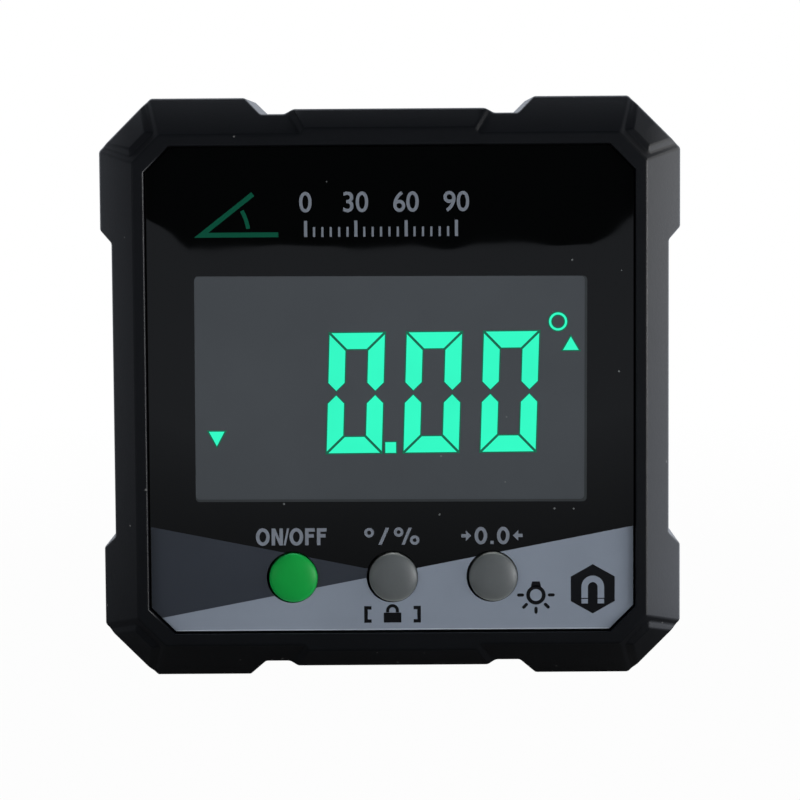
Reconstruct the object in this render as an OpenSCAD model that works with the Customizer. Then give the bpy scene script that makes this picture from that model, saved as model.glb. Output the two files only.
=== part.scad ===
/* [Case] */
// Outside width and height of the square face
face_size = 60; // [59:0.5:66]
// Depth from the front land to the rear face
case_depth = 28; // [27:0.5:32]
// Depth of the rear shell, from the rear face to where the two shells meet
rear_depth = 5.5; // [4.5:0.1:6.5]
// Leg of the 45 degree chamfer on each corner
corner_leg = 5.4; // [4.8:0.1:6]
// Thickness of the shells' sides at the corner blocks
side_wall = 3.7; // [3.4:0.1:4]
// Thickness of the rear shell's back
rear_wall = 2.2; // [1.8:0.1:2.4]
// Leg of the chamfer in the cavity's corners
cavity_leg = 4; // [3:0.1:5]

/* [Bumper frame] */
// Width of the front bevel seen from the front
bevel_run = 3.8; // [3.4:0.1:4.2]
// Depth of the front bevel
bevel_drop = 4.4; // [4:0.1:4.8]
// Leg of the chamfer on the front land's corners
land_leg = 2.8; // [2.4:0.1:3.2]
// Leg of the rear edge's 45 degree bevel
rear_bevel = 2.5; // [2:0.1:2.8]
// Half length of the notch floors on the top and the base
base_notch_half = 13.2; // [12:0.1:14]
// Depth of the notches on the top and the base
base_notch_depth = 1.7; // [1.4:0.1:1.9]
// Half length of the notch floors on the two sides
side_notch_half = 15.2; // [14.8:0.1:16.4]
// Depth of the notches on the two sides
side_notch_depth = 1.3; // [0.8:0.1:1.5]
// Height of the raised pads above their bevel
pad_rise = 0.45; // [0.3:0.05:0.6]
// Width of the sloped walls round the raised pads
pad_wall = 0.5; // [0.3:0.05:0.7]
// Bare strip of bevel left round a corner pad
pad_strip = 0.6; // [0.4:0.05:0.8]
// Half length of the middle pads at the outer edge
mid_pad_half = 9.8; // [8.5:0.1:10.5]
// Half length of the middle pads at the front land
mid_pad_land_half = 8.5; // [7.5:0.1:9]
// Height of the middle pads above the notch floor
mid_pad_height = 0.5; // [0.3:0.05:0.8]
// Spread of the middle pads' feet on the notch floor
mid_pad_foot = 0.95; // [0.5:0.05:1.2]

/* [Front panel] */
// Width of the land between the bevel and the panel's recess
land_width = 1.15; // [0.9:0.05:1.3]
// Gap round the panel in its recess
panel_gap = 0.2; // [0.1:0.05:0.4]
// Leg of the chamfer on the panel's corners
panel_leg = 2.5; // [2:0.1:3]
// Depth of the panel's face below the front land
panel_recess = 0.75; // [0.5:0.05:0.9]
// Thickness of the clear panel
panel_t = 1.2; // [1:0.1:1.5]
// Thickness of the adhesive sheet behind the panel
adhesive_t = 0.2; // [0.1:0.05:0.3]
// Margin of the panel that the adhesive leaves free
adhesive_margin = 0.8; // [0.5:0.1:1.5]
// Radial gap between the adhesive and a button cap
adhesive_clear = 0.3; // [0.2:0.05:0.5]
// Thickness of the front wall that carries the panel
front_wall = 1.6; // [1.4:0.1:1.8]
// Margin of the panel beside the display window
window_side = 4.75; // [4:0.05:6]
// Margin of the panel above and below the display window
window_top = 13.45; // [13:0.05:15]
// Overlap of the printed window edge over the wall's opening
window_lap = 0.6; // [0.3:0.1:0.8]
// Corner radius of the wall's opening
window_r = 1; // [0.5:0.1:2]

/* [Buttons] */
// Distance of the outer buttons from the panel's side edges
button_side = 14.55; // [14:0.05:16]
// Distance of the buttons above the panel's lower edge
button_rise = 5.55; // [4:0.05:5.7]
// Diameter of a button cap
button_d = 5; // [4:0.1:5.4]
// Radial clearance of a cap in its holes
button_clear = 0.15; // [0.1:0.01:0.25]
// Height of a cap above the panel's face
button_proud = 0.7; // [0.55:0.05:0.75]
// Radius of a cap's rounded rim
button_rim = 0.75; // [0.3:0.05:0.9]
// Height of a cap's crown
button_crown = 0.12; // [0.05:0.01:0.25]
// Width of the flange that keeps a cap in
flange_w = 0.9; // [0.6:0.1:1]
// Thickness of that flange
flange_t = 0.7; // [0.5:0.1:0.8]
// Gap between a flange and the front wall
flange_gap = 0.2; // [0.1:0.05:0.3]
// Travel of a button
button_travel = 0.5; // [0.3:0.05:0.6]
// Gap left under a flange at full travel
press_gap = 0.3; // [0.2:0.05:0.4]
// Side of a key switch
switch_size = 6; // [5:0.1:6]
// Diameter of a key switch's plunger
plunger_d = 3.5; // [3:0.1:3.8]
// Radial running clearance of a plunger
plunger_clear = 0.05; // [0.02:0.01:0.08]
// Length of a plunger inside its switch
plunger_grip = 1; // [0.8:0.1:1.2]

/* [Display] */
// Margin of the display glass behind the opening's edge
glass_margin = 1.7; // [1.2:0.1:1.7]
// Thickness of the display glass
glass_t = 2; // [1.8:0.1:2.4]
// Margin of the light guide inside the glass's edge
guide_margin = 1; // [0.6:0.1:1.4]
// Thickness of the light guide
guide_t = 2.8; // [2.4:0.1:3]
// Thickness of the display holder's walls
holder_wall = 1.2; // [0.8:0.1:1.2]
// Gap round the glass and the guide in the holder
holder_gap = 0.1; // [0.05:0.05:0.2]
// Gap between the holder and the front wall
holder_lift = 0.4; // [0.2:0.1:0.8]
// Length of the elastomer connector strip
strip_l = 34; // [28:0.5:38]

/* [Board] */
// Thickness of the circuit board
board_t = 1.6; // [1.2:0.1:1.6]
// Gap between the board's edge and the cavity
board_gap = 0.9; // [0.5:0.1:1.2]
// Gap between the board and the corner bosses
board_boss_gap = 0.5; // [0.3:0.1:0.8]
// Distance of the board's posts from the cavity's sides
post_side = 8.7; // [8:0.1:9.3]
// Distance of the upper posts from the cavity's top
post_top = 6.7; // [5.5:0.1:7.2]
// Distance of the lower posts from the cavity's base
post_base = 6.3; // [5.5:0.1:7.2]
// Diameter of the board's posts
post_d = 4.2; // [3.8:0.1:4.6]
// Thread diameter of the board screws
board_screw_d = 2; // [1.6:0.1:2.2]
// Thread length of the board screws in the posts
board_screw_l = 3.2; // [2.5:0.1:3.6]
// Head diameter of the board screws
board_head_d = 3.6; // [3.2:0.1:4]
// Head height of the board screws
board_head_h = 1.2; // [0.8:0.1:1.4]
// Side of the controller chip
chip_size = 10; // [7:0.5:12]
// Height of the controller chip
chip_h = 1.4; // [0.8:0.1:1.6]
// Side of the tilt sensor
sensor_size = 5; // [4:0.1:6]
// Distance of the tilt sensor left of the board's centre
sensor_left = 13; // [10:0.5:16]
// Distance of the tilt sensor above the board's centre
sensor_up = 11; // [9:0.5:14]
// Height of the tilt sensor
sensor_h = 1.2; // [0.8:0.1:1.5]

/* [Battery bay] */
// Room between the board and the bay
board_room = 3; // [2.6:0.1:4]
// Gap between the bay and the case's sides
bay_side_gap = 0.9; // [0.5:0.1:1.5]
// Diameter of a cell's terminal
nub_d = 3.8; // [3:0.1:3.8]
// Height of a cell's terminal
nub_h = 0.8; // [0.6:0.1:1.2]
// Gap between the two cells
cell_gap = 0.7; // [0.4:0.1:1]
// Gap between the cells and the bay's walls
bay_gap = 0.35; // [0.2:0.05:0.5]
// Thickness of the bay's walls
bay_wall = 1.2; // [1:0.1:1.4]
// Thickness of the contact plates
contact_t = 0.4; // [0.3:0.05:0.5]
// Width of a contact plate
contact_w = 8; // [6:0.1:9]
// Width of a contact's solder leg
leg_w = 3; // [2:0.1:4]
// Gap round a solder leg in the bay's floor
leg_gap = 0.2; // [0.1:0.05:0.3]
// Compressed length of a cell spring
spring_l = 3.1; // [2.5:0.1:3.2]
// Widest radius of a cell spring
spring_r = 3; // [2.5:0.1:3.4]
// Narrowing of a cell spring towards its cell
spring_taper = 1; // [0:0.1:1.2]
// Wire diameter of a cell spring
spring_wire = 0.5; // [0.4:0.05:0.6]
// Turns of a cell spring
spring_turns = 3; // [2:0.5:4]

/* [Battery door] */
// Thickness of the door
door_t = 2.2; // [2:0.1:2.4]
// Gap between the door and the cells
door_cell_gap = 0.6; // [0.4:0.1:0.9]
// Overlap of the door's edges over the bay's opening
door_lap = 0.8; // [0.5:0.1:1.2]
// Width of the door's side tongues
tongue_w = 1.2; // [0.8:0.1:1.4]
// Thickness of the door's side tongues
tongue_t = 1; // [0.8:0.1:1.1]
// Running clearance of the door
door_clear = 0.2; // [0.15:0.01:0.25]
// Width of the rear shell's rails beside the tongues
rail_w = 1.2; // [0.8:0.1:1.6]
// Height of the rails' floor
rail_floor = 1.2; // [1:0.1:1.6]
// Number of grip grooves on the door
grip_count = 6; // [3:1:8]
// Distance between grip grooves
grip_pitch = 1.8; // [1.4:0.1:2]
// Width of a grip groove
grip_w = 0.9; // [0.6:0.1:1.1]
// Depth of a grip groove
grip_depth = 0.4; // [0.2:0.05:0.6]
// Distance of the grip grooves left of the door's way out
grip_at = 12; // [8:0.5:16]
// Length of the grip grooves
grip_l = 12; // [8:0.5:16]

/* [Case screws] */
// Distance of the corner bosses from the cavity's sides
boss_inset = 3; // [2.8:0.1:3.4]
// Diameter of the corner bosses
boss_d = 6.4; // [6.2:0.1:7]
// Thread diameter of the case screws
case_screw_d = 2.4; // [2:0.1:2.6]
// Thread length of the case screws
case_screw_l = 10; // [8:0.5:12]
// Head diameter of the case screws
case_head_d = 4.4; // [4:0.1:4.6]
// Head height of the case screws
case_head_h = 1.7; // [1.4:0.1:2]
// Width of the cross recess in a screw's head
cross_w = 0.7; // [0.5:0.05:0.9]
// Margin between the cross recess and the head's edge
cross_margin = 0.8; // [0.5:0.1:1]
// Depth of the cross recess
cross_depth = 0.6; // [0.4:0.1:0.7]
// Depth of the heads below the rear face
head_recess = 1.2; // [0.6:0.1:1.5]
// Radial clearance of the heads in their counterbores
head_clear = 0.3; // [0.2:0.05:0.4]
// Radial clearance of the threads in their holes
thread_clear = 0.05; // [0.02:0.01:0.1]
// Height of the rear shell's locating lip
lip_h = 1.5; // [1:0.1:2]
// Thickness of the locating lip
lip_t = 1; // [0.8:0.1:1.2]
// Gap between the locating lip and the corner bosses
lip_boss_gap = 0.2; // [0.1:0.05:0.4]
// Clearance of the locating lip in the front shell
lip_clear = 0.1; // [0.05:0.01:0.2]

/* [Case seal] */
// Width of the seal between the shells
seal_w = 1; // [0.6:0.1:1.2]
// Thickness of the seal
seal_t = 0.8; // [0.5:0.1:1]
// Gap beside the seal in its groove
seal_gap = 0.05; // [0.02:0.01:0.1]
// Distance of the seal's groove from the cavity
seal_inset = 0.4; // [0.2:0.05:0.5]

/* [Base magnets] */
// Diameter of a magnet
magnet_d = 8; // [6:0.5:8]
// Thickness of a magnet
magnet_t = 2.8; // [2:0.1:3]
// Radial clearance of a magnet in its pocket
magnet_clear = 0.05; // [0.02:0.01:0.1]
// Depth of the magnets' centres behind the front land
magnet_depth = 13; // [11:0.5:16]

/* [Hidden] */
$fn = 64;

// Length past which a cut is clear of the case
over = 3 * face_size;
// Slack of a cut that runs out through a face
cut_slack = 1;

// Half sizes in the face's plane
face_half = face_size / 2;
cavity_half = face_half - side_wall;
land_half = face_half - bevel_run;
recess_half = land_half - land_width;
panel_half = recess_half - panel_gap;
recess_leg = panel_leg + panel_gap * (2 - sqrt(2));
window_w = 2 * (panel_half - window_side);
window_h = 2 * (panel_half - window_top);
board_half = cavity_half - board_gap;
boss_at = cavity_half - boss_inset;
base_floor = face_half - base_notch_depth;
side_floor = face_half - side_notch_depth;

// Depths behind the front land, front to back
front_depth = case_depth - rear_depth;
panel_back = panel_recess + panel_t;
wall_front = panel_back + adhesive_t;
wall_back = wall_front + front_wall;
flange_front = wall_back + flange_gap;
flange_back = flange_front + flange_t;
switch_front = flange_back + button_travel + press_gap;
glass_back = wall_back + glass_t;
board_front = glass_back + guide_t;
board_back = board_front + board_t;
door_inner = case_depth - door_t;
cell_rear = door_inner - door_cell_gap;
bay_front = board_back + board_room;
bay_floor = bay_front + bay_wall;
cell_d = cell_rear - bay_gap - bay_floor;
cell_depth = cell_rear - cell_d / 2;
cover_inner = case_depth - rear_wall;
head_seat = case_depth - head_recess - case_head_h;

// Display
opening_w = window_w + 2 * window_lap;
opening_h = window_h + 2 * window_lap;
glass_w = opening_w + 2 * glass_margin;
glass_h = opening_h + 2 * glass_margin;
guide_w = glass_w - 2 * guide_margin;
guide_h = glass_h - 2 * guide_margin;
holder_w = glass_w + 2 * (holder_gap + holder_wall);
holder_h = glass_h + 2 * (holder_gap + holder_wall);
strip_depth = guide_margin - 2 * holder_gap;

// Battery bay: the cells are the longest and thickest that its room takes
cell_pitch = cell_d + cell_gap;
bay_half_w = cavity_half - bay_side_gap - bay_wall;
cell_l = 2 * (bay_half_w - contact_t) - spring_l;
bay_half_h = cell_pitch / 2 + cell_d / 2 + bay_gap;
contact_face = bay_half_w - contact_t;
contact_rear = cell_depth + contact_w / 2;

// Battery door
door_half = bay_half_h + door_lap;
door_left = bay_half_w + door_lap;
tongue_half = door_half + tongue_w;
rail_half = tongue_half + door_clear + rail_w;
rail_front = door_inner - door_clear - rail_floor;

// Bevels of the four sides and the four corners
corner_in = (2 * land_half - land_leg) / sqrt(2);
corner_out = (2 * face_half - corner_leg) / sqrt(2);
corner_run = corner_out - corner_in;
bevel_tilt = atan2(bevel_drop, bevel_run);
corner_tilt = atan2(bevel_drop, corner_run);
pad_shift = pad_rise / sin(bevel_tilt);

button_drop = panel_half - button_rise;
button_pitch = panel_half - button_side;
button_x = [-button_pitch, 0, button_pitch];
post_x = cavity_half - post_side;
post_up = cavity_half - post_top;
post_down = cavity_half - post_base;
board_posts = [[-post_x, post_up], [post_x, post_up], [-post_x, -post_down], [post_x, -post_down]];
bosses = [for (sx = [-1, 1]) for (sy = [-1, 1]) [sx * boss_at, sy * boss_at]];
magnet_x = (base_notch_half + base_notch_depth + face_half - corner_leg) / 2;

case_color = [0.09, 0.095, 0.105];
metal_color = [0.72, 0.73, 0.74];
button_grey = [0.3, 0.32, 0.34];

// The face's frame: x to the right, y up, and z out of the front land towards the reader
module face_frame() {
    translate([0, -case_depth / 2, face_half]) rotate([90, 0, 0]) children();
}

// A flat outline raised between two depths behind the front land
module slab(from, to) {
    translate([0, 0, -to]) linear_extrude(to - from) children();
}

// A round bar between two depths
module bar(at, d, from, to) {
    translate([at.x, at.y, -to]) cylinder(d = d, h = to - from);
}

module chamfered_square(half, leg) {
    straight = half - leg;
    polygon([[half, -straight], [half, straight], [straight, half], [-straight, half],
        [-half, straight], [-half, -straight], [-straight, -half], [straight, -half]]);
}

module rounded_rectangle(w, h, r) {
    square([w - 2 * r, h], center = true);
    square([w, h - 2 * r], center = true);
    for (sx = [-1, 1]) for (sy = [-1, 1])
        translate([sx * (w / 2 - r), sy * (h / 2 - r)]) circle(r);
}

// A notch in one edge, with 45 degree ends
module notch(half, depth) {
    mouth = half + depth;
    polygon([[-half, face_half - depth], [half, face_half - depth], [mouth, face_half],
        [mouth, face_half + cut_slack], [-mouth, face_half + cut_slack], [-mouth, face_half]]);
}

// Outline of the case, with its notches and the middle pads that stand on two notch floors
module case_outline() {
    foot = mid_pad_half + mid_pad_foot;
    pad_top = base_floor + mid_pad_height;
    difference() {
        chamfered_square(face_half, corner_leg);
        for (turn = [0, 180]) rotate(turn) notch(base_notch_half, base_notch_depth);
        for (turn = [90, 270]) rotate(turn) notch(side_notch_half, side_notch_depth);
    }
    for (turn = [0, 180]) rotate(turn)
        polygon([[-foot, base_floor], [0, 0], [foot, base_floor], [mid_pad_half, pad_top],
            [-mid_pad_half, pad_top]]);
}

// Removes all in front of a sloped plane that leaves the front land at a distance from the centre
module slope_cut(turn, distance, tilt) {
    rotate(turn) translate([distance, 0, 0]) rotate([0, tilt, 0])
        translate([-over, -over, 0]) cube([2 * over, 2 * over, over]);
}

// A raised pad on a sloped plane: its walls lean in from a wide foot to a narrower top
module sloped_pad(turn, distance, tilt, inner, inner_half, outer, outer_half, inner_wall) {
    rotate(turn) translate([distance, 0, 0]) rotate([0, tilt, 0]) hull() {
        translate([0, 0, -pad_rise]) linear_extrude(pad_rise)
            polygon([[inner, -inner_half], [outer, -outer_half], [outer, outer_half], [inner, inner_half]]);
        linear_extrude(pad_rise)
            polygon([[inner + inner_wall, pad_wall - inner_half], [outer, pad_wall - outer_half],
                [outer, outer_half - pad_wall], [inner + inner_wall, inner_half - pad_wall]]);
    }
}

// A corner pad: a bare strip of the corner's bevel shows on three sides of it
module corner_pad(turn) {
    slope = bevel_drop / sin(corner_tilt);
    land_half_l = land_leg / sqrt(2);
    spread = (corner_leg - land_leg) / sqrt(2) / slope;
    strip = pad_strip / cos(corner_tilt);
    reach = 2 * slope;
    sloped_pad(turn, corner_in, corner_tilt, strip, land_half_l + spread * strip - pad_strip,
        reach, land_half_l + spread * reach - pad_strip, pad_wall);
}

// A middle pad: it runs on from the bevel to the notch floor
module mid_pad(turn) {
    slope = (base_floor + mid_pad_height - land_half - pad_shift) / cos(bevel_tilt);
    spread = (mid_pad_half - mid_pad_land_half) / slope;
    sloped_pad(turn, land_half, bevel_tilt, -slope, mid_pad_land_half - spread * slope + pad_wall,
        2 * slope, mid_pad_land_half + 2 * spread * slope + pad_wall, 0);
}

// Outside form of the front shell
module front_form() {
    difference() {
        slab(0, front_depth) case_outline();
        for (side = [0 : 90 : 270]) slope_cut(side, land_half, bevel_tilt);
        for (corner = [45 : 90 : 315]) slope_cut(corner, corner_in, corner_tilt);
    }
    intersection() {
        slab(0, front_depth) case_outline();
        union() {
            for (corner = [45 : 90 : 315]) corner_pad(corner);
            for (side = [90, 270]) mid_pad(side);
        }
    }
}

module front_housing() {
    color(case_color) face_frame() difference() {
        union() {
            difference() {
                front_form();
                slab(wall_back, front_depth + cut_slack) chamfered_square(cavity_half, cavity_leg);
            }
            for (at = bosses) bar(at, boss_d, wall_front, front_depth);
            for (at = board_posts) bar(at, post_d, wall_front, board_front);
        }
        slab(-cut_slack, wall_front) chamfered_square(recess_half, recess_leg);
        slab(0, front_depth) rounded_rectangle(opening_w, opening_h, window_r);
        for (x = button_x)
            bar([x, -button_drop], button_d + 2 * button_clear, 0, front_depth);
        for (at = board_posts)
            bar(at, board_screw_d + 2 * thread_clear, board_front - board_screw_l, front_depth);
        for (at = bosses)
            bar(at, case_screw_d + 2 * thread_clear, head_seat - case_screw_l, case_depth);
        for (side = [-1, 1]) magnet_shape(side, magnet_clear, cut_slack);
    }
}

// Rear shell: a rim and back, the battery bay, the door's rails and the screw columns
module rear_cover() {
    color(case_color) face_frame() difference() {
        union() {
            difference() {
                rear_form();
                slab(front_depth - cut_slack, cover_inner) chamfered_square(cavity_half, cavity_leg);
            }
            difference() {
                slab(front_depth - lip_h, cover_inner) difference() {
                    chamfered_square(cavity_half - lip_clear, cavity_leg);
                    chamfered_square(cavity_half - lip_clear - lip_t, cavity_leg);
                }
                for (at = bosses) bar(at, boss_d + 2 * lip_boss_gap, front_depth - lip_h, front_depth);
            }
            for (at = bosses) bar(at, boss_d, front_depth, cover_inner);
            slab(bay_front, cover_inner)
                square(2 * [bay_half_w + bay_wall, bay_half_h + bay_wall], center = true);
            intersection() {
                slab(rail_front, cover_inner) square([over, 2 * rail_half], center = true);
                slab(rail_front, cover_inner) chamfered_square(cavity_half, cavity_leg);
            }
        }
        slab(bay_floor, case_depth) square(2 * [bay_half_w, bay_half_h], center = true);
        door_form(door_clear);
        seal_ring(seal_gap, cut_slack);
        for (side = [-1, 1]) translate([0, side * cell_pitch / 2])
            contact_leg(leg_gap, bay_front - cut_slack, bay_floor + leg_gap);
        for (at = bosses) {
            bar(at, case_screw_d + 2 * thread_clear, front_depth - lip_h, case_depth);
            bar(at, case_head_d + 2 * head_clear, head_seat, case_depth + cut_slack);
        }
    }
}

// The seal's ring at the shells' meeting plane: a clearance and a run-out turn it into its groove
module seal_ring(clear, run_out) {
    inner = cavity_half + seal_inset;
    slab(front_depth - run_out, front_depth + seal_t) difference() {
        chamfered_square(inner + seal_w + clear, cavity_leg);
        chamfered_square(inner - clear, cavity_leg);
    }
}

module case_seal() {
    color([0.05, 0.05, 0.055]) face_frame() seal_ring(0, 0);
}

// Outside form of the rear shell
module rear_form() {
    difference() {
        slab(front_depth, case_depth) case_outline();
        rear_bevels();
    }
}

// The rear edge's bevel, all round
module rear_bevels() {
    translate([0, 0, -case_depth]) mirror([0, 0, 1]) {
        for (side = [0 : 90 : 270]) slope_cut(side, face_half - rear_bevel, 45);
        for (corner = [45 : 90 : 315]) slope_cut(corner, corner_out - rear_bevel, 45);
    }
}

// The door with a clearance all round: at zero it is the door, and with more it is the door's way out
module door_form(clear) {
    right = clear > 0 ? over : side_floor;
    slab(door_inner - clear, case_depth + clear)
        translate([-door_left - clear, -door_half - clear])
            square([right + door_left + clear, 2 * (door_half + clear)]);
    slab(door_inner - clear, door_inner + tongue_t + clear)
        translate([-door_left - clear, -tongue_half - clear])
            square([right + door_left + clear, 2 * (tongue_half + clear)]);
}

module battery_door() {
    color(case_color) face_frame() difference() {
        door_form(0);
        rear_bevels();
        for (i = [0 : grip_count - 1])
            slab(case_depth - grip_depth, case_depth + cut_slack)
                translate([(i - (grip_count - 1) / 2) * grip_pitch - grip_at, 0])
                    square([grip_w, grip_l], center = true);
    }
}

module front_panel() {
    color([0.02, 0.022, 0.024]) face_frame() slab(panel_recess, panel_back) difference() {
        chamfered_square(panel_half, panel_leg);
        for (x = button_x) translate([x, -button_drop]) circle(d = button_d + 2 * button_clear);
    }
}

module panel_adhesive() {
    color("white") face_frame() slab(panel_back, wall_front) difference() {
        chamfered_square(panel_half - adhesive_margin, panel_leg);
        rounded_rectangle(opening_w, opening_h, window_r);
        for (x = button_x) translate([x, -button_drop]) circle(d = button_d + 2 * adhesive_clear);
    }
}

module lcd_glass() {
    color([0.26, 0.275, 0.295]) face_frame() slab(wall_back, glass_back)
        square([glass_w, glass_h], center = true);
}

module backlight_guide() {
    color([0.9, 0.92, 0.9]) face_frame() slab(glass_back, board_front)
        square([guide_w, guide_h], center = true);
}

// Frame round the glass and the light guide, standing on the board
module lcd_holder() {
    color("white") face_frame() difference() {
        slab(wall_back + holder_lift, board_front) square([holder_w, holder_h], center = true);
        slab(wall_back, glass_back)
            square([glass_w + 2 * holder_gap, glass_h + 2 * holder_gap], center = true);
        slab(wall_back, board_front + cut_slack)
            square([guide_w + 2 * holder_gap, guide_h + 2 * holder_gap], center = true);
        connector_form(holder_gap);
    }
}

// The connector's place: between the glass's edge and the board, below the light guide
module connector_form(clear) {
    slab(glass_back, board_front + (clear > 0 ? cut_slack : 0))
        translate([0, -(guide_h + glass_h) / 4])
            square([strip_l + 2 * clear, strip_depth + 2 * clear], center = true);
}

module connector_strip() {
    color([0.55, 0.2, 0.3]) face_frame() connector_form(0);
}

module main_board() {
    color([0.05, 0.3, 0.15]) face_frame() slab(board_front, board_back) difference() {
        square(2 * board_half, center = true);
        for (at = bosses) translate(at) {
            circle(boss_d / 2 + board_boss_gap);
            rotate(atan2(at.y, at.x)) translate([0, -boss_d / 2 - board_boss_gap])
                square([over, boss_d + 2 * board_boss_gap]);
        }
        for (at = board_posts) translate(at) circle(d = board_screw_d + 2 * thread_clear);
    }
}

// A pan head screw seen from behind, with a cross recess: its seat is at a depth
module screw(at, seat, d, l, head_d, head_h) {
    slot_l = head_d - 2 * cross_margin;
    bar(at, d, seat - l, seat);
    difference() {
        bar(at, head_d, seat, seat + head_h);
        translate([at.x, at.y]) slab(seat + head_h - cross_depth, seat + head_h + cut_slack) {
            square([slot_l, cross_w], center = true);
            square([cross_w, slot_l], center = true);
        }
    }
}

module board_screws() {
    color(metal_color) face_frame() for (at = board_posts)
        screw(at, board_back, board_screw_d, board_t + board_screw_l, board_head_d, board_head_h);
}

module case_screws() {
    color(metal_color) face_frame() for (at = bosses)
        screw(at, head_seat, case_screw_d, case_screw_l, case_head_d, case_head_h);
}

module controller_chip() {
    color([0.1, 0.1, 0.1]) face_frame() slab(board_back, board_back + chip_h)
        square(chip_size, center = true);
}

module tilt_sensor() {
    color([0.15, 0.15, 0.16]) face_frame() slab(board_back, board_back + sensor_h)
        translate([-sensor_left, sensor_up]) square(sensor_size, center = true);
}

// One key switch: a square case with the plunger's bore
module key_switch(x) {
    color([0.12, 0.12, 0.13]) face_frame() translate([x, -button_drop]) difference() {
        slab(switch_front, board_front) square(switch_size, center = true);
        bar([0, 0], plunger_d + 2 * plunger_clear, switch_front - cut_slack,
            switch_front + plunger_grip + button_travel + press_gap);
    }
}

// One plunger, from the cap's back into its switch
module plunger(x) {
    color([0.85, 0.84, 0.8]) face_frame()
        bar([x, -button_drop], plunger_d, flange_back, switch_front + plunger_grip);
}

// One button: a crowned cap with a rounded rim, and the flange that keeps it in
module button(x, tint) {
    cap_r = button_d / 2;
    flat_r = cap_r - button_rim;
    shoulder = button_proud - panel_recess - button_crown;
    color(tint) face_frame() translate([x, -button_drop, 0]) rotate_extrude()
        polygon(concat([[0, -flange_back], [cap_r + flange_w, -flange_back],
            [cap_r + flange_w, -flange_front], [cap_r, -flange_front]],
            [for (a = [0 : 15 : 75])
                [flat_r + button_rim * cos(a), shoulder - button_rim * (1 - sin(a))]],
            [for (a = [90 : -15 : 0])
                [flat_r * sin(a), shoulder + button_crown * cos(a)]]));
}

module on_off_switch() key_switch(button_x[0]);
module hold_switch() key_switch(button_x[1]);
module zero_switch() key_switch(button_x[2]);
module on_off_plunger() plunger(button_x[0]);
module hold_plunger() plunger(button_x[1]);
module zero_plunger() plunger(button_x[2]);
module on_off_button() button(button_x[0], [0.1, 0.52, 0.23]);
module hold_button() button(button_x[1], button_grey);
module zero_button() button(button_x[2], button_grey);

// One cell, with its terminal towards the positive end
module cell(side) {
    color([0.75, 0.6, 0.3]) face_frame()
        translate([0, side * cell_pitch / 2, -cell_depth]) rotate([0, side * 90, 0])
            translate([0, 0, contact_face]) mirror([0, 0, 1]) {
                cylinder(d = nub_d, h = nub_h);
                translate([0, 0, nub_h]) cylinder(d = cell_d, h = cell_l - nub_h);
            }
}

module upper_cell() cell(1);
module lower_cell() cell(-1);

// A contact's solder leg at the right end of the bay, with a gap all round
module contact_leg(clear, from, to) {
    slab(from, to) translate([contact_face - clear, -leg_w / 2 - clear])
        square([contact_t + 2 * clear, leg_w + 2 * clear]);
}

// One contact plate at the right end of the bay, with its leg to the board
module contact(side) {
    color(metal_color) face_frame() translate([0, side * cell_pitch / 2]) {
        slab(bay_floor, contact_rear) translate([contact_face, -contact_w / 2])
            square([contact_t, contact_w]);
        contact_leg(0, board_back, bay_floor);
    }
}

module positive_contact() contact(1);
module negative_contact() contact(-1);

// The plate at the left end that links the two cells
module link_contact() {
    link_half = (cell_pitch + contact_w) / 2;
    color(metal_color) face_frame() slab(bay_floor, contact_rear)
        translate([-bay_half_w, -link_half]) square([contact_t, 2 * link_half]);
}

// A conical spring of round wire, swept along its own turns
module coil() {
    sides = 8;
    steps_per_turn = 16;
    steps = steps_per_turn * spring_turns;
    wire_r = spring_wire / 2;
    rise = spring_l - spring_wire;
    rings = [for (i = [0 : steps])
        let (t = i / steps, a = 360 * spring_turns * t, r = spring_r - spring_taper * t)
        [for (k = [0 : sides - 1]) let (s = 360 * k / sides, q = r + wire_r * cos(s))
            [q * cos(a), q * sin(a), wire_r + rise * t + wire_r * sin(s)]]];
    walls = [for (i = [0 : steps - 1]) for (k = [0 : sides - 1]) let (n = (k + 1) % sides)
        [i * sides + k, i * sides + n, (i + 1) * sides + n, (i + 1) * sides + k]];
    ends = [[for (k = [sides - 1 : -1 : 0]) k], [for (k = [0 : sides - 1]) steps * sides + k]];
    polyhedron([for (ring = rings) each ring], concat(walls, ends));
}

// One cell spring, between a contact plate and the cell's flat end
module cell_spring(side) {
    color(metal_color) face_frame()
        translate([-side * contact_face, side * cell_pitch / 2, -cell_depth])
            rotate([0, side * 90, 0]) coil();
}

module upper_spring() cell_spring(1);
module lower_spring() cell_spring(-1);

// One magnet's disc, flush with the base face: a clearance and a run-out turn it into its pocket
module magnet_shape(side, clear, run_out) {
    translate([side * magnet_x, -face_half - run_out, -magnet_depth]) rotate([-90, 0, 0])
        cylinder(d = magnet_d + 2 * clear, h = magnet_t + run_out);
}

module left_magnet() color(metal_color) face_frame() magnet_shape(-1, 0, 0);
module right_magnet() color(metal_color) face_frame() magnet_shape(1, 0, 0);

front_housing();
rear_cover();
front_panel();
panel_adhesive();
lcd_glass();
backlight_guide();
lcd_holder();
connector_strip();
main_board();
board_screws();
controller_chip();
tilt_sensor();
on_off_switch();
hold_switch();
zero_switch();
on_off_plunger();
hold_plunger();
zero_plunger();
on_off_button();
hold_button();
zero_button();
upper_cell();
lower_cell();
positive_contact();
negative_contact();
link_contact();
upper_spring();
lower_spring();
battery_door();
case_screws();
case_seal();
left_magnet();
right_magnet();
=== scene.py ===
import math
import bpy
import bmesh
from mathutils import Matrix, Quaternion, Vector


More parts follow.
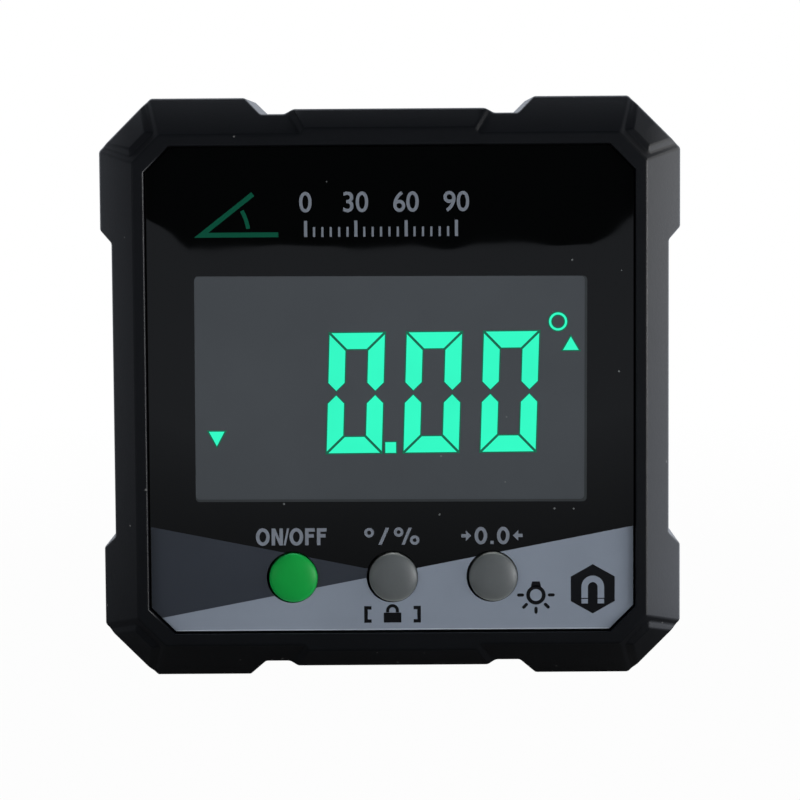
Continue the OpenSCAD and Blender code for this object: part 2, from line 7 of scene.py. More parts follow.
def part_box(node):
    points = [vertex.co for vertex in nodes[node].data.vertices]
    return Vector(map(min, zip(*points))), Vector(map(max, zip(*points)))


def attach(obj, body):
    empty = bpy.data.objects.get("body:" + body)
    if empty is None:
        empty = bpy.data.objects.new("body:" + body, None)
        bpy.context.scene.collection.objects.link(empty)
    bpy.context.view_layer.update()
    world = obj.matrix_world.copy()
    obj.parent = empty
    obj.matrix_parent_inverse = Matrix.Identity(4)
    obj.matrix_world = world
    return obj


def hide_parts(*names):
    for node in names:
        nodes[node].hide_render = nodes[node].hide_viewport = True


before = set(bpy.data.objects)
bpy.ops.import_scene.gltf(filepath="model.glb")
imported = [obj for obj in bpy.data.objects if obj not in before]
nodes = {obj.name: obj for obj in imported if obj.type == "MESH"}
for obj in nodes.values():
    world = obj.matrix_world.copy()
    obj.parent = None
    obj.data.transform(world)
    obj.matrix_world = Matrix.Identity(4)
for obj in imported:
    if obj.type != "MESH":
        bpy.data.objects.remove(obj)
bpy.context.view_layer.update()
scene = bpy.context.scene
mm = 0.001
print("frame loaded:", len(nodes), "nodes")

# Where the panel's face lies: print is drawn in millimetres from its middle, x right and y up
panelLow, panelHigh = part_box("front_panel")
caseLow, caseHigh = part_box("front_housing")
panelHalf = panelHigh.x / mm
panelMiddle = (panelLow.z + panelHigh.z) / 2
faceTurn = Matrix.Rotation(math.radians(90), 4, "X")
facePlace = Matrix.Translation((0, panelLow.y, panelMiddle)) @ faceTurn @ Matrix.Scale(mm, 4)


# Small tools for meshes

def linked(name, data):
    thing = bpy.data.objects.new(name, data)
    scene.collection.objects.link(thing)
    return thing


def meshFrom(work, name):
    mesh = bpy.data.meshes.new(name)
    work.to_mesh(mesh)
    work.free()
    return mesh


def addPiece(name, mesh, body, material=None, replaced=None):
    piece = linked(name, mesh)
    if material:
        mesh.materials.clear()
        mesh.materials.append(material)
    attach(piece, body)
    if replaced:
        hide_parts(replaced)
    return piece


def smoothShade(mesh, sharpAngle):
    mesh.polygons.foreach_set("use_smooth", [True] * len(mesh.polygons))
    mesh.set_sharp_from_angle(angle=math.radians(sharpAngle))


def weighNormals(piece):
    modifier = piece.modifiers.new("even faces", "WEIGHTED_NORMAL")
    modifier.keep_sharp = True
    modifier.weight = 90


def toMesh(carrier, name):
    # the evaluated result becomes a plain mesh, and the carrier goes
    bpy.context.view_layer.update()
    depsgraph = bpy.context.evaluated_depsgraph_get()
    mesh = bpy.data.meshes.new_from_object(carrier.evaluated_get(depsgraph))
    mesh.name = name
    bpy.data.objects.remove(carrier)
    return mesh


def mergeDoubles(mesh, distance):
    work = bmesh.new()
    work.from_mesh(mesh)
    bmesh.ops.remove_doubles(work, verts=work.verts, dist=distance)
    bmesh.ops.recalc_face_normals(work, faces=work.faces)
    work.to_mesh(mesh)
    work.free()
    return mesh


rounding = {"mergeWithin": 2e-6, "flatWithin": 0.4, "sharpFrom": 12, "smoothTo": 35}


def roundedCopy(node, width, steps, chosen, splits=()):
    # a merged copy of a CAD node whose sharp edges are rounded by their chosen share of the width;
    # flat rings are split at some x
    work = bmesh.new()
    work.from_mesh(nodes[node].data)
    bmesh.ops.remove_doubles(work, verts=work.verts, dist=rounding["mergeWithin"])
    for x in splits:
        everything = work.verts[:] + work.edges[:] + work.faces[:]
        cut = bmesh.ops.bisect_plane(work, geom=everything, dist=1e-6, plane_co=(x, 0, 0),
                                     plane_no=(1, 0, 0))
        for part in cut["geom_cut"]:
            if isinstance(part, bmesh.types.BMEdge):
                part.seam = True
    bmesh.ops.dissolve_limit(work, angle_limit=math.radians(rounding["flatWithin"]), verts=work.verts,
                             edges=work.edges, delimit={"SEAM"})
    share = work.edges.layers.float.new("bevel_weight_edge")
    for edge in work.edges:
        if len(edge.link_faces) == 2 and edge.calc_face_angle() > math.radians(rounding["sharpFrom"]):
            edge[share] = chosen(edge)
    carrier = linked(node + "Blank", meshFrom(work, node + "Blank"))
    bevel = carrier.modifiers.new("rounding", "BEVEL")
    bevel.limit_method = "WEIGHT"
    bevel.width = width
    bevel.segments = steps
    bevel.miter_outer = "MITER_ARC"
    bevel.use_clamp_overlap = False
    form = mergeDoubles(toMesh(carrier, node + "Form"), rounding["mergeWithin"])
    smoothShade(form, rounding["smoothTo"])
    return form


def lathe(name, profile, steps, place, faceSlots=None):
    # profile: radius and height pairs in millimetres from axis to axis, turned round local z
    work = bmesh.new()
    rings = []
    for radius, height in profile:
        if radius == 0:
            rings.append([work.verts.new((0, 0, height))])
            continue
        ring = []
        for step in range(steps):
            turn = 2 * math.pi * step / steps
            ring.append(work.verts.new((radius * math.cos(turn), radius * math.sin(turn), height)))
        rings.append(ring)
    for level in range(len(rings) - 1):
        low = rings[level]
        high = rings[level + 1]
        for step in range(steps):
            after = (step + 1) % steps
            if len(low) == 1:
                face = work.faces.new((low[0], high[after], high[step]))
            elif len(high) == 1:
                face = work.faces.new((low[step], low[after], high[0]))
            else:
                face = work.faces.new((low[step], low[after], high[after], high[step]))
            if faceSlots:
                face.material_index = faceSlots[level]
    bmesh.ops.recalc_face_normals(work, faces=work.faces)
    mesh = meshFrom(work, name)
    mesh.transform(place)
    smoothShade(mesh, 40)
    return mesh


def arcPoints(middle, radius, start, end, steps):
    points = []
    for step in range(steps + 1):
        turn = math.radians(start + (end - start) * step / steps)
        points.append((middle[0] + radius * math.cos(turn), middle[1] + radius * math.sin(turn)))
    return points


def fullCircle(middle, radius):
    return arcPoints(middle, radius, 0, 352.5, 47)


def flatShape(name, loops, bottom, top):
    # closed loops, holes among them, as a thin plate between two heights above the panel's face
    curve = bpy.data.curves.new(name, "CURVE")
    curve.dimensions = "2D"
    curve.fill_mode = "BOTH"
    curve.extrude = (top - bottom) / 2
    for loop in loops:
        spline = curve.splines.new("POLY")
        spline.points.add(len(loop) - 1)
        for point, (x, y) in zip(spline.points, loop):
            point.co = (x, y, 0, 1)
        spline.use_cyclic_u = True
    mesh = mergeDoubles(toMesh(linked(name, curve), name), 1e-4)
    mesh.transform(Matrix.Translation((0, 0, (top + bottom) / 2)))
    return mesh


def flatText(name, words, capHeight, bottom, top, weight, squeeze):
    # letters or figures as a thin plate, centred on the local origin
    font = bpy.data.curves.new(name, "FONT")
    font.body = words
    font.size = 1
    font.offset = weight
    font.extrude = (top - bottom) / 2 / capHeight
    font.resolution_u = 6
    mesh = mergeDoubles(toMesh(linked(name, font), name), 1e-4)
    xs = [vertex.co.x for vertex in mesh.vertices]
    ys = [vertex.co.y for vertex in mesh.vertices]
    size = capHeight / (max(ys) - min(ys))
    middle = Vector(((max(xs) + min(xs)) / 2, (max(ys) + min(ys)) / 2, 0))
    mesh.transform(Matrix.Diagonal((size * squeeze, size, capHeight, 1)) @ Matrix.Translation(-middle))
    mesh.transform(Matrix.Translation((0, 0, (top + bottom) / 2)))
    return mesh


def joinMeshes(name, meshes):
    work = bmesh.new()
    for mesh in meshes:
        work.from_mesh(mesh)
    return meshFrom(work, name)


def moved(mesh, x, y, turn=0):
    mesh.transform(Matrix.Translation((x, y, 0)) @ Matrix.Rotation(math.radians(turn), 4, "Z"))
    return mesh


def addNodes(tree, *kinds):
    return [tree.nodes.new(kind) for kind in kinds]


def setInputs(node, values):
    for label, value in values.items():
        node.inputs[label].default_value = value


def wire(tree, *links):
    # each link: a node and its output, then a node and its input
    for start, outlet, end, inlet in links:
        tree.links.new(start.outputs[outlet], end.inputs[inlet])


# Geometry Nodes trees for what repeats

def newTree(name, sockets):
    tree = bpy.data.node_groups.new(name, "GeometryNodeTree")
    tree.interface.new_socket("Geometry", in_out="INPUT", socket_type="NodeSocketGeometry")
    tree.interface.new_socket("Geometry", in_out="OUTPUT", socket_type="NodeSocketGeometry")
    for label, kind in sockets:
        tree.interface.new_socket(label, in_out="INPUT", socket_type=kind)
    return tree, tree.nodes.new("NodeGroupInput"), tree.nodes.new("NodeGroupOutput")


def closeTree(tree, maker, made, output, material):
    realize, setMaterial = addNodes(tree, "GeometryNodeRealizeInstances", "GeometryNodeSetMaterial")
    setInputs(setMaterial, {"Material": material})
    wire(tree, (maker, made, realize, "Geometry"), (realize, "Geometry", setMaterial, "Geometry"),
         (setMaterial, "Geometry", output, "Geometry"))
    return tree


def rowTree(name, material):
    # copies of the carrier's own mesh along x
    tree, given, output = newTree(name, [("Count", "NodeSocketInt"), ("Pitch", "NodeSocketFloat")])
    line, offset, copies = addNodes(tree, "GeometryNodeMeshLine", "ShaderNodeCombineXYZ",
                                    "GeometryNodeInstanceOnPoints")
    wire(tree, (given, "Count", line, "Count"), (given, "Pitch", offset, "X"),
         (offset, "Vector", line, "Offset"), (line, "Mesh", copies, "Points"),
         (given, "Geometry", copies, "Instance"))
    return closeTree(tree, copies, "Instances", output, material)


def fanTree(name, material):
    # copies of the carrier's own mesh turned round z in even steps
    tree, given, output = newTree(name, [("Count", "NodeSocketInt"), ("Step", "NodeSocketFloat"),
                                         ("Start", "NodeSocketFloat")])
    points, index, turn = addNodes(tree, "GeometryNodeMeshLine", "GeometryNodeInputIndex", "ShaderNodeMath")
    axis, copies = addNodes(tree, "ShaderNodeCombineXYZ", "GeometryNodeInstanceOnPoints")
    turn.operation = "MULTIPLY_ADD"
    setInputs(points, {"Offset": (0, 0, 0)})
    wire(tree, (given, "Count", points, "Count"), (index, "Index", turn, 0), (given, "Step", turn, 1),
         (given, "Start", turn, 2), (turn, "Value", axis, "Z"), (points, "Mesh", copies, "Points"),
         (given, "Geometry", copies, "Instance"), (axis, "Vector", copies, "Rotation"))
    return closeTree(tree, copies, "Instances", output, material)


def cornerTree(name, material):
    # copies of the carrier's own mesh at a square's four corners
    tree, given, output = newTree(name, [("Spread", "NodeSocketFloat")])
    grid, copies = addNodes(tree, "GeometryNodeMeshGrid", "GeometryNodeInstanceOnPoints")
    setInputs(grid, {"Vertices X": 2, "Vertices Y": 2})
    wire(tree, (given, "Spread", grid, "Size X"), (given, "Spread", grid, "Size Y"),
         (grid, "Mesh", copies, "Points"), (given, "Geometry", copies, "Instance"))
    return closeTree(tree, copies, "Instances", output, material)


def coilTree(name, material):
    # round wire along a conical spiral
    tree, given, output = newTree(name, [("Turns", "NodeSocketFloat"), ("Wide", "NodeSocketFloat"),
                                         ("Narrow", "NodeSocketFloat"), ("Height", "NodeSocketFloat"),
                                         ("Wire", "NodeSocketFloat")])
    spiral, ring, sweep = addNodes(tree, "GeometryNodeCurveSpiral", "GeometryNodeCurvePrimitiveCircle",
                                   "GeometryNodeCurveToMesh")
    setInputs(spiral, {"Resolution": 40})
    setInputs(ring, {"Resolution": 14})
    setInputs(sweep, {"Fill Caps": True})
    wire(tree, (given, "Turns", spiral, "Rotations"), (given, "Wide", spiral, "Start Radius"),
         (given, "Narrow", spiral, "End Radius"), (given, "Height", spiral, "Height"),
         (given, "Wire", ring, "Radius"), (spiral, "Curve", sweep, "Curve"),
         (ring, "Curve", sweep, "Profile Curve"))
    return closeTree(tree, sweep, "Mesh", output, material)


def grow(name, mesh, tree, values):
    # runs a tree on a mesh and gives back the plain result
    carrier = linked(name, mesh)
    modifier = carrier.modifiers.new("repeat", "NODES")
    modifier.node_group = tree
    for item in tree.interface.items_tree:
        if item.in_out == "INPUT" and item.name in values:
            modifier[item.identifier] = values[item.name]
    return toMesh(carrier, name)


# Small tools for materials

def newMaterial(name):
    material = bpy.data.materials.new(name)
    material.use_nodes = True
    tree = material.node_tree
    return material, tree, tree.nodes["Principled BSDF"]


def objectNoise(tree, scale, detail):
    coords, noise = addNodes(tree, "ShaderNodeTexCoord", "ShaderNodeTexNoise")
    setInputs(noise, {"Scale": scale, "Detail": detail})
    wire(tree, (coords, "Object", noise, "Vector"))
    return noise.outputs["Fac"]


def spread(tree, value, low, high, fromLow=0.3, fromHigh=0.7):
    node = tree.nodes.new("ShaderNodeMapRange")
    setInputs(node, {"From Min": fromLow, "From Max": fromHigh, "To Min": low, "To Max": high})
    tree.links.new(value, node.inputs["Value"])
    return node.outputs["Result"]


def twoTone(tree, value, first, second):
    node = tree.nodes.new("ShaderNodeValToRGB")
    for element, position, colour in zip(node.color_ramp.elements, (0.3, 0.7), (first, second)):
        element.position = position
        element.color = (*colour, 1)
    tree.links.new(value, node.inputs["Fac"])
    return node.outputs["Color"]


def addBump(tree, shader, height, depth):
    node = tree.nodes.new("ShaderNodeBump")
    setInputs(node, {"Strength": 1, "Distance": depth})
    tree.links.new(height, node.inputs["Height"])
    tree.links.new(node.outputs["Normal"], shader.inputs["Normal"])


def combine(tree, operation, first, second):
    # a sum, product or the like of two sockets, or of a socket and a number
    node = tree.nodes.new("ShaderNodeMath")
    node.operation = operation
    for place, value in enumerate((first, second)):
        if isinstance(value, (int, float)):
            node.inputs[place].default_value = value
        else:
            tree.links.new(value, node.inputs[place])
    return node.outputs["Value"]


def blend(tree, factor, first, second):
    # the first colour where the factor is 0, the second where it is 1; each is a socket or a colour
    node = tree.nodes.new("ShaderNodeMix")
    node.data_type = "RGBA"
    tree.links.new(factor, node.inputs["Factor"])
    for place, colour in (("A", first), ("B", second)):
        if isinstance(colour, tuple):
            node.inputs[place].default_value = (*colour, 1)
        else:
            tree.links.new(colour, node.inputs[place])
    return node.outputs["Result"]


def withoutSign(tree, value):
    return combine(tree, "MAXIMUM", value, combine(tree, "MULTIPLY", value, -1))


def fromMiddle(tree):
    # distances across and up from the middle of the face, both without sign, and the signed height
    coords, split = addNodes(tree, "ShaderNodeTexCoord", "ShaderNodeSeparateXYZ")
    wire(tree, (coords, "Object", split, "Vector"))
    height = combine(tree, "SUBTRACT", split.outputs["Z"], panelMiddle)
    return withoutSign(tree, split.outputs["X"]), withoutSign(tree, height), height


def shade(colour, factor):
    return tuple(channel * factor for channel in colour)


def addDust(tree, tone, dust):
    # a few pale specks, each in its own cell
    coords, cells, draw = addNodes(tree, "ShaderNodeTexCoord", "ShaderNodeTexVoronoi",
                                   "ShaderNodeSeparateColor")
    setInputs(cells, {"Scale": dust["scale"]})
    wire(tree, (coords, "Object", cells, "Vector"), (cells, "Color", draw, "Color"))
    near = combine(tree, "LESS_THAN", cells.outputs["Distance"], dust["size"])
    few = combine(tree, "LESS_THAN", draw.outputs["Red"], dust["share"])
    return blend(tree, combine(tree, "MULTIPLY", near, few), tone, dust["colour"])


def mouldedFinish(name, colour, roughness, grain, grainDepth, specular=0.5, mottle=0.12, dust=None,
                  bow=None, sheen=None):
    material, tree, shader = newMaterial(name)
    cloud = objectNoise(tree, 260, 4)
    tone = twoTone(tree, cloud, shade(colour, 1 - mottle), shade(colour, 1 + mottle))
    if dust:
        tone = addDust(tree, tone, dust)
    tree.links.new(tone, shader.inputs["Base Color"])
    fine = objectNoise(tree, grain, 3)
    tree.links.new(spread(tree, fine, roughness - 0.05, roughness + 0.05), shader.inputs["Roughness"])
    shader.inputs["Specular IOR Level"].default_value = specular
    if sheen:
        setInputs(shader, {"Sheen Weight": 1, "Sheen Tint": (*sheen, 1)})
    height = combine(tree, "MULTIPLY", fine, grainDepth)
    if bow:
        # the bevels round the face are a little crowned
        across, up, _ = fromMiddle(tree)
        outward = spread(tree, combine(tree, "MAXIMUM", across, up), 0, 1, bow["start"], bow["end"])
        fall = combine(tree, "MULTIPLY", combine(tree, "POWER", outward, 2), bow["depth"])
        height = combine(tree, "SUBTRACT", height, fall)
    addBump(tree, shader, height, 1)
    return material


def platedFinish(name, colour, roughness):
    material, tree, shader = newMaterial(name)
    brush = objectNoise(tree, 900, 4)
    tone = twoTone(tree, brush, shade(colour, 0.9), shade(colour, 1.05))
    tree.links.new(tone, shader.inputs["Base Color"])
    tree.links.new(spread(tree, brush, roughness - 0.06, roughness + 0.08), shader.inputs["Roughness"])
    shader.inputs["Metallic"].default_value = 1
    addBump(tree, shader, brush, 0.004 * mm)
    return material


def lacquerFinish(name, colour, gloss, lit=0, mottle=0.05, dust=None):
    # print, and the painted edge highlight and window shade, behind the clear panel: the polished face over
    # it carries the gloss
    material, tree, shader = newMaterial(name)
    cloud = objectNoise(tree, 120, 3)
    tone = twoTone(tree, cloud, shade(colour, 1 - mottle), shade(colour, 1 + mottle))
    if lit:
        tree.links.new(tone, shader.inputs["Emission Color"])
        setInputs(shader, {"Emission Strength": lit, "Base Color": (0.002, 0.004, 0.003, 1)})
    else:
        tree.links.new(addDust(tree, tone, dust) if dust else tone, shader.inputs["Base Color"])
    smear = objectNoise(tree, 90, 5)
    tree.links.new(spread(tree, smear, gloss["smooth"], gloss["smeared"]), shader.inputs["Roughness"])
    shader.inputs["Specular IOR Level"].default_value = gloss["specular"]
    wave = combine(tree, "MULTIPLY", objectNoise(tree, gloss["waveScale"], 1), gloss["waveDepth"])
    across, _, up = fromMiddle(tree)
    lean = combine(tree, "MULTIPLY", spread(tree, across, 0, gloss["endLean"], gloss["endFrom"],
                                            gloss["endTo"]), up)
    addBump(tree, shader, combine(tree, "ADD", wave, lean), 1)
    return material


# Finishes
polish = {"smooth": 0.01, "smeared": 0.03, "specular": 0.5, "waveScale": 105, "waveDepth": 0.017 * mm,
          "endLean": 0.0055, "endFrom": 20.5 * mm, "endTo": 25 * mm}
crownedBevel = {"start": 26.2 * mm, "end": 30 * mm, "depth": 0.3 * mm}
caseDust = {"scale": 430, "size": 0.048, "share": 0.5, "colour": (0.10, 0.10, 0.10)}
panelDust = {"scale": 430, "size": 0.046, "share": 0.28, "colour": (0.12, 0.13, 0.13)}

casePlastic = mouldedFinish("casePlastic", (0.0028, 0.0033, 0.0044), 0.36, 5200, 0.009 * mm, 0.38,
                            dust=caseDust, bow=crownedBevel)
panelBlack = lacquerFinish("panelBlack", (0.0005, 0.0007, 0.0007), polish, dust=panelDust)
slatePrint = lacquerFinish("slatePrint", (0.027, 0.032, 0.042), polish)
greyPrint = lacquerFinish("greyPrint", (0.202, 0.234, 0.286), polish)
# painted highlight: the pale colour of the strip along the panel's bottom edge
edgeHighlightPaint = lacquerFinish("edgeHighlightPaint", (0.36, 0.40, 0.45), polish)
legendPrint = lacquerFinish("legendPrint", (0.170, 0.190, 0.225), polish)
darkPrint = lacquerFinish("darkPrint", (0.0025, 0.0030, 0.0040), polish)
greenPrint = lacquerFinish("greenPrint", (0.004, 0.075, 0.042), polish)
windowGrey = lacquerFinish("windowGrey", (0.054, 0.061, 0.068), polish, dust=panelDust)
# painted shade: the dark rim that shows along the window's right and bottom edges
windowShadePaint = lacquerFinish("windowShadePaint", (0.026, 0.030, 0.032), polish)
segmentGlow = lacquerFinish("segmentGlow", (0.024, 0.95, 0.55), polish, 1, 0.04)
segmentEdge = lacquerFinish("segmentEdge", (0.001, 0.120, 0.062), polish, 1, 0.1)
greenCap = mouldedFinish("greenCap", (0.002, 0.270, 0.038), 0.48, 3000, 0.004 * mm, 0.4, 0.06,
                         sheen=(0.06, 0.90, 0.24))
greyCap = mouldedFinish("greyCap", (0.069, 0.077, 0.081), 0.50, 3000, 0.004 * mm, 1.0, 0.06,
                        sheen=(0.60, 0.64, 0.61))
cellWrap = mouldedFinish("cellWrap", (0.055, 0.060, 0.070), 0.28, 1500, 0.002 * mm, 0.5, 0.08)
cellBand = mouldedFinish("cellBand", (0.42, 0.20, 0.055), 0.28, 1500, 0.002 * mm, 0.5, 0.08)
cellSteel = platedFinish("cellSteel", (0.62, 0.61, 0.58), 0.28)
springSteel = platedFinish("springSteel", (0.68, 0.67, 0.64), 0.25)
screwSteel = platedFinish("screwSteel", (0.42, 0.42, 0.43), 0.34)
magnetNickel = platedFinish("magnetNickel", (0.66, 0.65, 0.62), 0.22)
boardMask = mouldedFinish("boardMask", (0.010, 0.110, 0.040), 0.35, 2400, 0.006 * mm, 0.5, 0.2)
paleMoulding = mouldedFinish("paleMoulding", (0.72, 0.72, 0.69), 0.5, 3000, 0.006 * mm)
clearMoulding = mouldedFinish("clearMoulding", (0.70, 0.73, 0.71), 0.22, 2000, 0.002 * mm)
darkMoulding = mouldedFinish("darkMoulding", (0.030, 0.031, 0.034), 0.5, 4000, 0.006 * mm)
rubber = mouldedFinish("rubber", (0.018, 0.018, 0.019), 0.7, 2600, 0.01 * mm, 0.3)
stripRubber = mouldedFinish("stripRubber", (0.30, 0.09, 0.12), 0.6, 2600, 0.008 * mm, 0.3)
displayGlass = lacquerFinish("displayGlass", (0.046, 0.052, 0.060), polish)
print("finishes made")

# Inner pieces keep their CAD form
innerFinish = (
    (paleMoulding, ("panel_adhesive", "lcd_holder", "on_off_plunger", "hold_plunger", "zero_plunger")),
    (displayGlass, ("lcd_glass",)),
    (clearMoulding, ("backlight_guide",)),
    (stripRubber, ("connector_strip",)),
    (boardMask, ("main_board",)),
    (screwSteel, ("board_screws",)),
    (darkMoulding, ("controller_chip", "tilt_sensor", "on_off_switch", "hold_switch", "zero_switch")),
    (rubber, ("case_seal",)),
)
for material, innerNodes in innerFinish:
    for node in innerNodes:
        nodes[node].data.materials.clear()
        nodes[node].data.materials.append(material)

# Case shells: every outer edge is rounded as the mould leaves it
shell = {"edge": 0.30 * mm, "fine": 0.6, "steps": 3, "wallInside": 3.58 * mm, "frontSkin": 1.5 * mm,
         "padFoot": 9 * mm, "outlineFrom": 1.9 * mm, "partingSkin": 0.3 * mm}


def outerEdge(edge):
    # the cavity's own edges stay sharp: they lie inside the side walls and behind the front
    for corner in edge.verts:
        reach = max(abs(corner.co.x), abs(corner.co.z - panelMiddle))
        inside = reach < caseHigh.x - shell["wallInside"]
        if inside and corner.co.y > caseLow.y + shell["frontSkin"]:
            return False
    return True


def frontEdge(edge):
    # the bevels' outer ends are rounder than all other edges of the front shell
    if not outerEdge(edge):
        return 0
    first, second = edge.verts
    nearest = min(first.co.y, second.co.y)
    around = abs(first.co.y - second.co.y) < 0.5 * edge.calc_length()
    outline = caseLow.y + shell["outlineFrom"] < nearest < caseHigh.y - shell["partingSkin"]
    return 1 if outline and around else shell["fine"]


frontForm = roundedCopy("front_housing", shell["edge"], shell["steps"], frontEdge,
                        (-shell["padFoot"], shell["padFoot"]))
frontShell = addPiece("frontShell", frontForm, "case", casePlastic, "front_housing")
weighNormals(frontShell)
print("front shell:", len(frontShell.data.polygons), "faces")

# Rear shell and door: the outside and the bay's mouth are rounded
rear = {"edge": 0.17 * mm, "doorEdge": 0.12 * mm, "backSkin": 0.05 * mm, "doorSkin": 0.6 * mm}
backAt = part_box("rear_cover")[1].y


def rearEdge(edge):
    reach = [max(abs(corner.co.x), abs(corner.co.z - panelMiddle)) for corner in edge.verts]
    atBack = min(corner.co.y for corner in edge.verts) > backAt - rear["backSkin"]
    outside = min(reach) > caseHigh.x - shell["wallInside"]
    return atBack or outside


def doorEdge(edge):
    return min(corner.co.y for corner in edge.verts) > backAt - rear["doorSkin"]


rearShell = addPiece("rearShell", roundedCopy("rear_cover", rear["edge"], shell["steps"], rearEdge),
                     "case", casePlastic, "rear_cover")
weighNormals(rearShell)
slidingDoor = addPiece("slidingDoor", roundedCopy("battery_door", rear["doorEdge"], 2, doorEdge),
                       "door", casePlastic, "battery_door")
weighNormals(slidingDoor)
print("rear shell and door:", len(rearShell.data.polygons), len(slidingDoor.data.polygons), "faces")

# Front panel: its front edge has a fine polished chamfer
panel = {"chamfer": 0.08 * mm, "rimFrom": 21.5 * mm, "grow": 0.08, "layer": 0.015, "printInset": 0.04,
         "cornerLeg": 2.45, "edgeHighlight": 0.11}


def panelFrontEdge(edge):
    return max(corner.co.y for corner in edge.verts) < panelLow.y + 1e-6


panelForm = roundedCopy("front_panel", panel["chamfer"], 2, panelFrontEdge)
growth = 1 + panel["grow"] / panelHalf
for vertex in panelForm.vertices:
    # the outer edge takes up part of the gap round it
    height = vertex.co.z - panelMiddle
    if max(abs(vertex.co.x), abs(height)) > panel["rimFrom"]:
        vertex.co.x *= growth
        vertex.co.z = panelMiddle + height * growth
panelPlate = addPiece("panelPlate", panelForm, "case", panelBlack, "front_panel")
weighNormals(panelPlate)

# Buttons: a soft domed cap on its flange
cap = {"radius": 2.5, "dome": 0.95, "fullness": 2.5, "flange": 3.4, "flangeThick": 0.7, "steps": 96,
       "rings": 18, "play": 0.15, "lean": (0.12, -0.075)}
buttonMiddles = []


def capProfile(height):
    points = [(0, 0), (cap["flange"], 0), (cap["flange"], cap["flangeThick"]),
              (cap["radius"], cap["flangeThick"])]
    for step in range(cap["rings"]):
        turn = math.radians(90 * step / cap["rings"])
        reach = math.cos(turn) ** (2 / cap["fullness"])
        rise = math.sin(turn) ** (2 / cap["fullness"])
        points.append((cap["radius"] * reach, height - cap["dome"] * (1 - rise)))
    return points + [(0, height)]


for node, body, material, slot in (("on_off_button", "on_off_key", greenCap, "green_button"),
                                   ("hold_button", "hold_key", greyCap, "grey_button"),
                                   ("zero_button", "zero_key", greyCap, "grey_button")):
    low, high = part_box(node)
    middle = (low + high) / 2
    buttonMiddles.append((middle.x / mm, (middle.z - panelMiddle) / mm))
    place = Matrix.Translation((middle.x, high.y, middle.z)) @ faceTurn @ Matrix.Scale(mm, 4)
    form = lathe(node + "Cap", capProfile((high.y - low.y) / mm), cap["steps"], Matrix())
    for vertex in form.vertices:
        # the cap leans to one side of its hole, and the flange stays in the middle
        if vertex.co.z > cap["flangeThick"] + 0.01:
            vertex.co.x += cap["lean"][0]
            vertex.co.y += cap["lean"][1]
    form.transform(place)
    addPiece(node + "Cap", form, body, material, node)
print("buttons made at", buttonMiddles)


# Panel print, with a painted edge highlight, in thin layers over the panel's face

def cutForButtons(mesh):
    # the print stops at the buttons' holes
    holeRadius = cap["radius"] + cap["play"]
    drills = []
    for x, y in buttonMiddles:
        drills.append(lathe("drill", [(0, -1), (holeRadius, -1), (holeRadius, 1), (0, 1)], 72,
                            Matrix.Translation((x, y, 0))))
    tool = linked("drills", joinMeshes("drills", drills))
    carrier = linked("printBlank", mesh)
    cut = carrier.modifiers.new("holes", "BOOLEAN")
    cut.operation = "DIFFERENCE"
    cut.solver = "EXACT"
    cut.object = tool
    result = toMesh(carrier, mesh.name + "Cut")
    bpy.data.objects.remove(tool)
    return result


def addPrintOrPaintedLight(name, mesh, material):
    mesh.transform(facePlace)
    return addPiece(name, mesh, "case", material, None)


layer = panel["layer"]
edgeAt = panelHalf - panel["printInset"]
cornerAt = edgeAt - panel["cornerLeg"]

wedge = {"leftAt": -23.42, "rightAt": -14.15, "slateTop": -13.97, "crossing": (-0.7, -18.8)}
leftCorner = (-edgeAt - cornerAt - wedge["leftAt"], wedge["leftAt"])
lightField = [leftCorner, (-cornerAt, -edgeAt), (cornerAt, -edgeAt), (edgeAt, -cornerAt),
              (edgeAt, wedge["rightAt"])]
lightSlope = (wedge["rightAt"] - wedge["leftAt"]) / (edgeAt - leftCorner[0])
crossAt = wedge["crossing"][0]
underCrossing = (crossAt, wedge["leftAt"] + lightSlope * (crossAt - leftCorner[0]))
slateField = [(-edgeAt, wedge["slateTop"]), (-edgeAt, -cornerAt), leftCorner, underCrossing,
              wedge["crossing"]]
lineTop = panel["edgeHighlight"] - edgeAt
edgeHighlight = [(-cornerAt, -edgeAt), (cornerAt, -edgeAt), (cornerAt, lineTop), (-cornerAt, lineTop)]
addPrintOrPaintedLight("lightField", cutForButtons(flatShape("lightField", [lightField], 0, layer)), greyPrint)
# a pale strip along the panel's bottom edge: a painted highlight for the clear panel's lit edge
addPrintOrPaintedLight("edgeHighlight", flatShape("edgeHighlight", [edgeHighlight], layer, 2 * layer), edgeHighlightPaint)
addPrintOrPaintedLight("slateField", cutForButtons(flatShape("slateField", [slateField], 0, layer)), slatePrint)

# Legends over the buttons, drawn with one stroke width
legend = {"row": -15.08, "high": 1.76, "stroke": 0.36, "overshoot": 0.06, "onOffAt": -14.02,
          "unitsAt": -2.86, "zeroAt": 8.5, "roundWide": 1.42, "letterN": 1.17, "letterF": 1.0,
          "degreeRing": 1.0, "percentRing": 0.98, "ringStroke": 0.29, "ringLift": 0.42, "zeroWide": 1.3,
          "point": 0.34, "arrowLong": 0.5, "arrowHead": 0.55, "arrowShaft": 0.17, "headBack": 0.05}


def ovalLoops(x, y, width, height, stroke):
    # an upright oval ring, as its outer loop and its hole
    loops = []
    for inset in (0, stroke):
        points = []
        for px, py in fullCircle((0, 0), 1):
            points.append((x + width / 2 + px * (width / 2 - inset), y + py * (height / 2 - inset)))
        loops.append(points)
    return loops


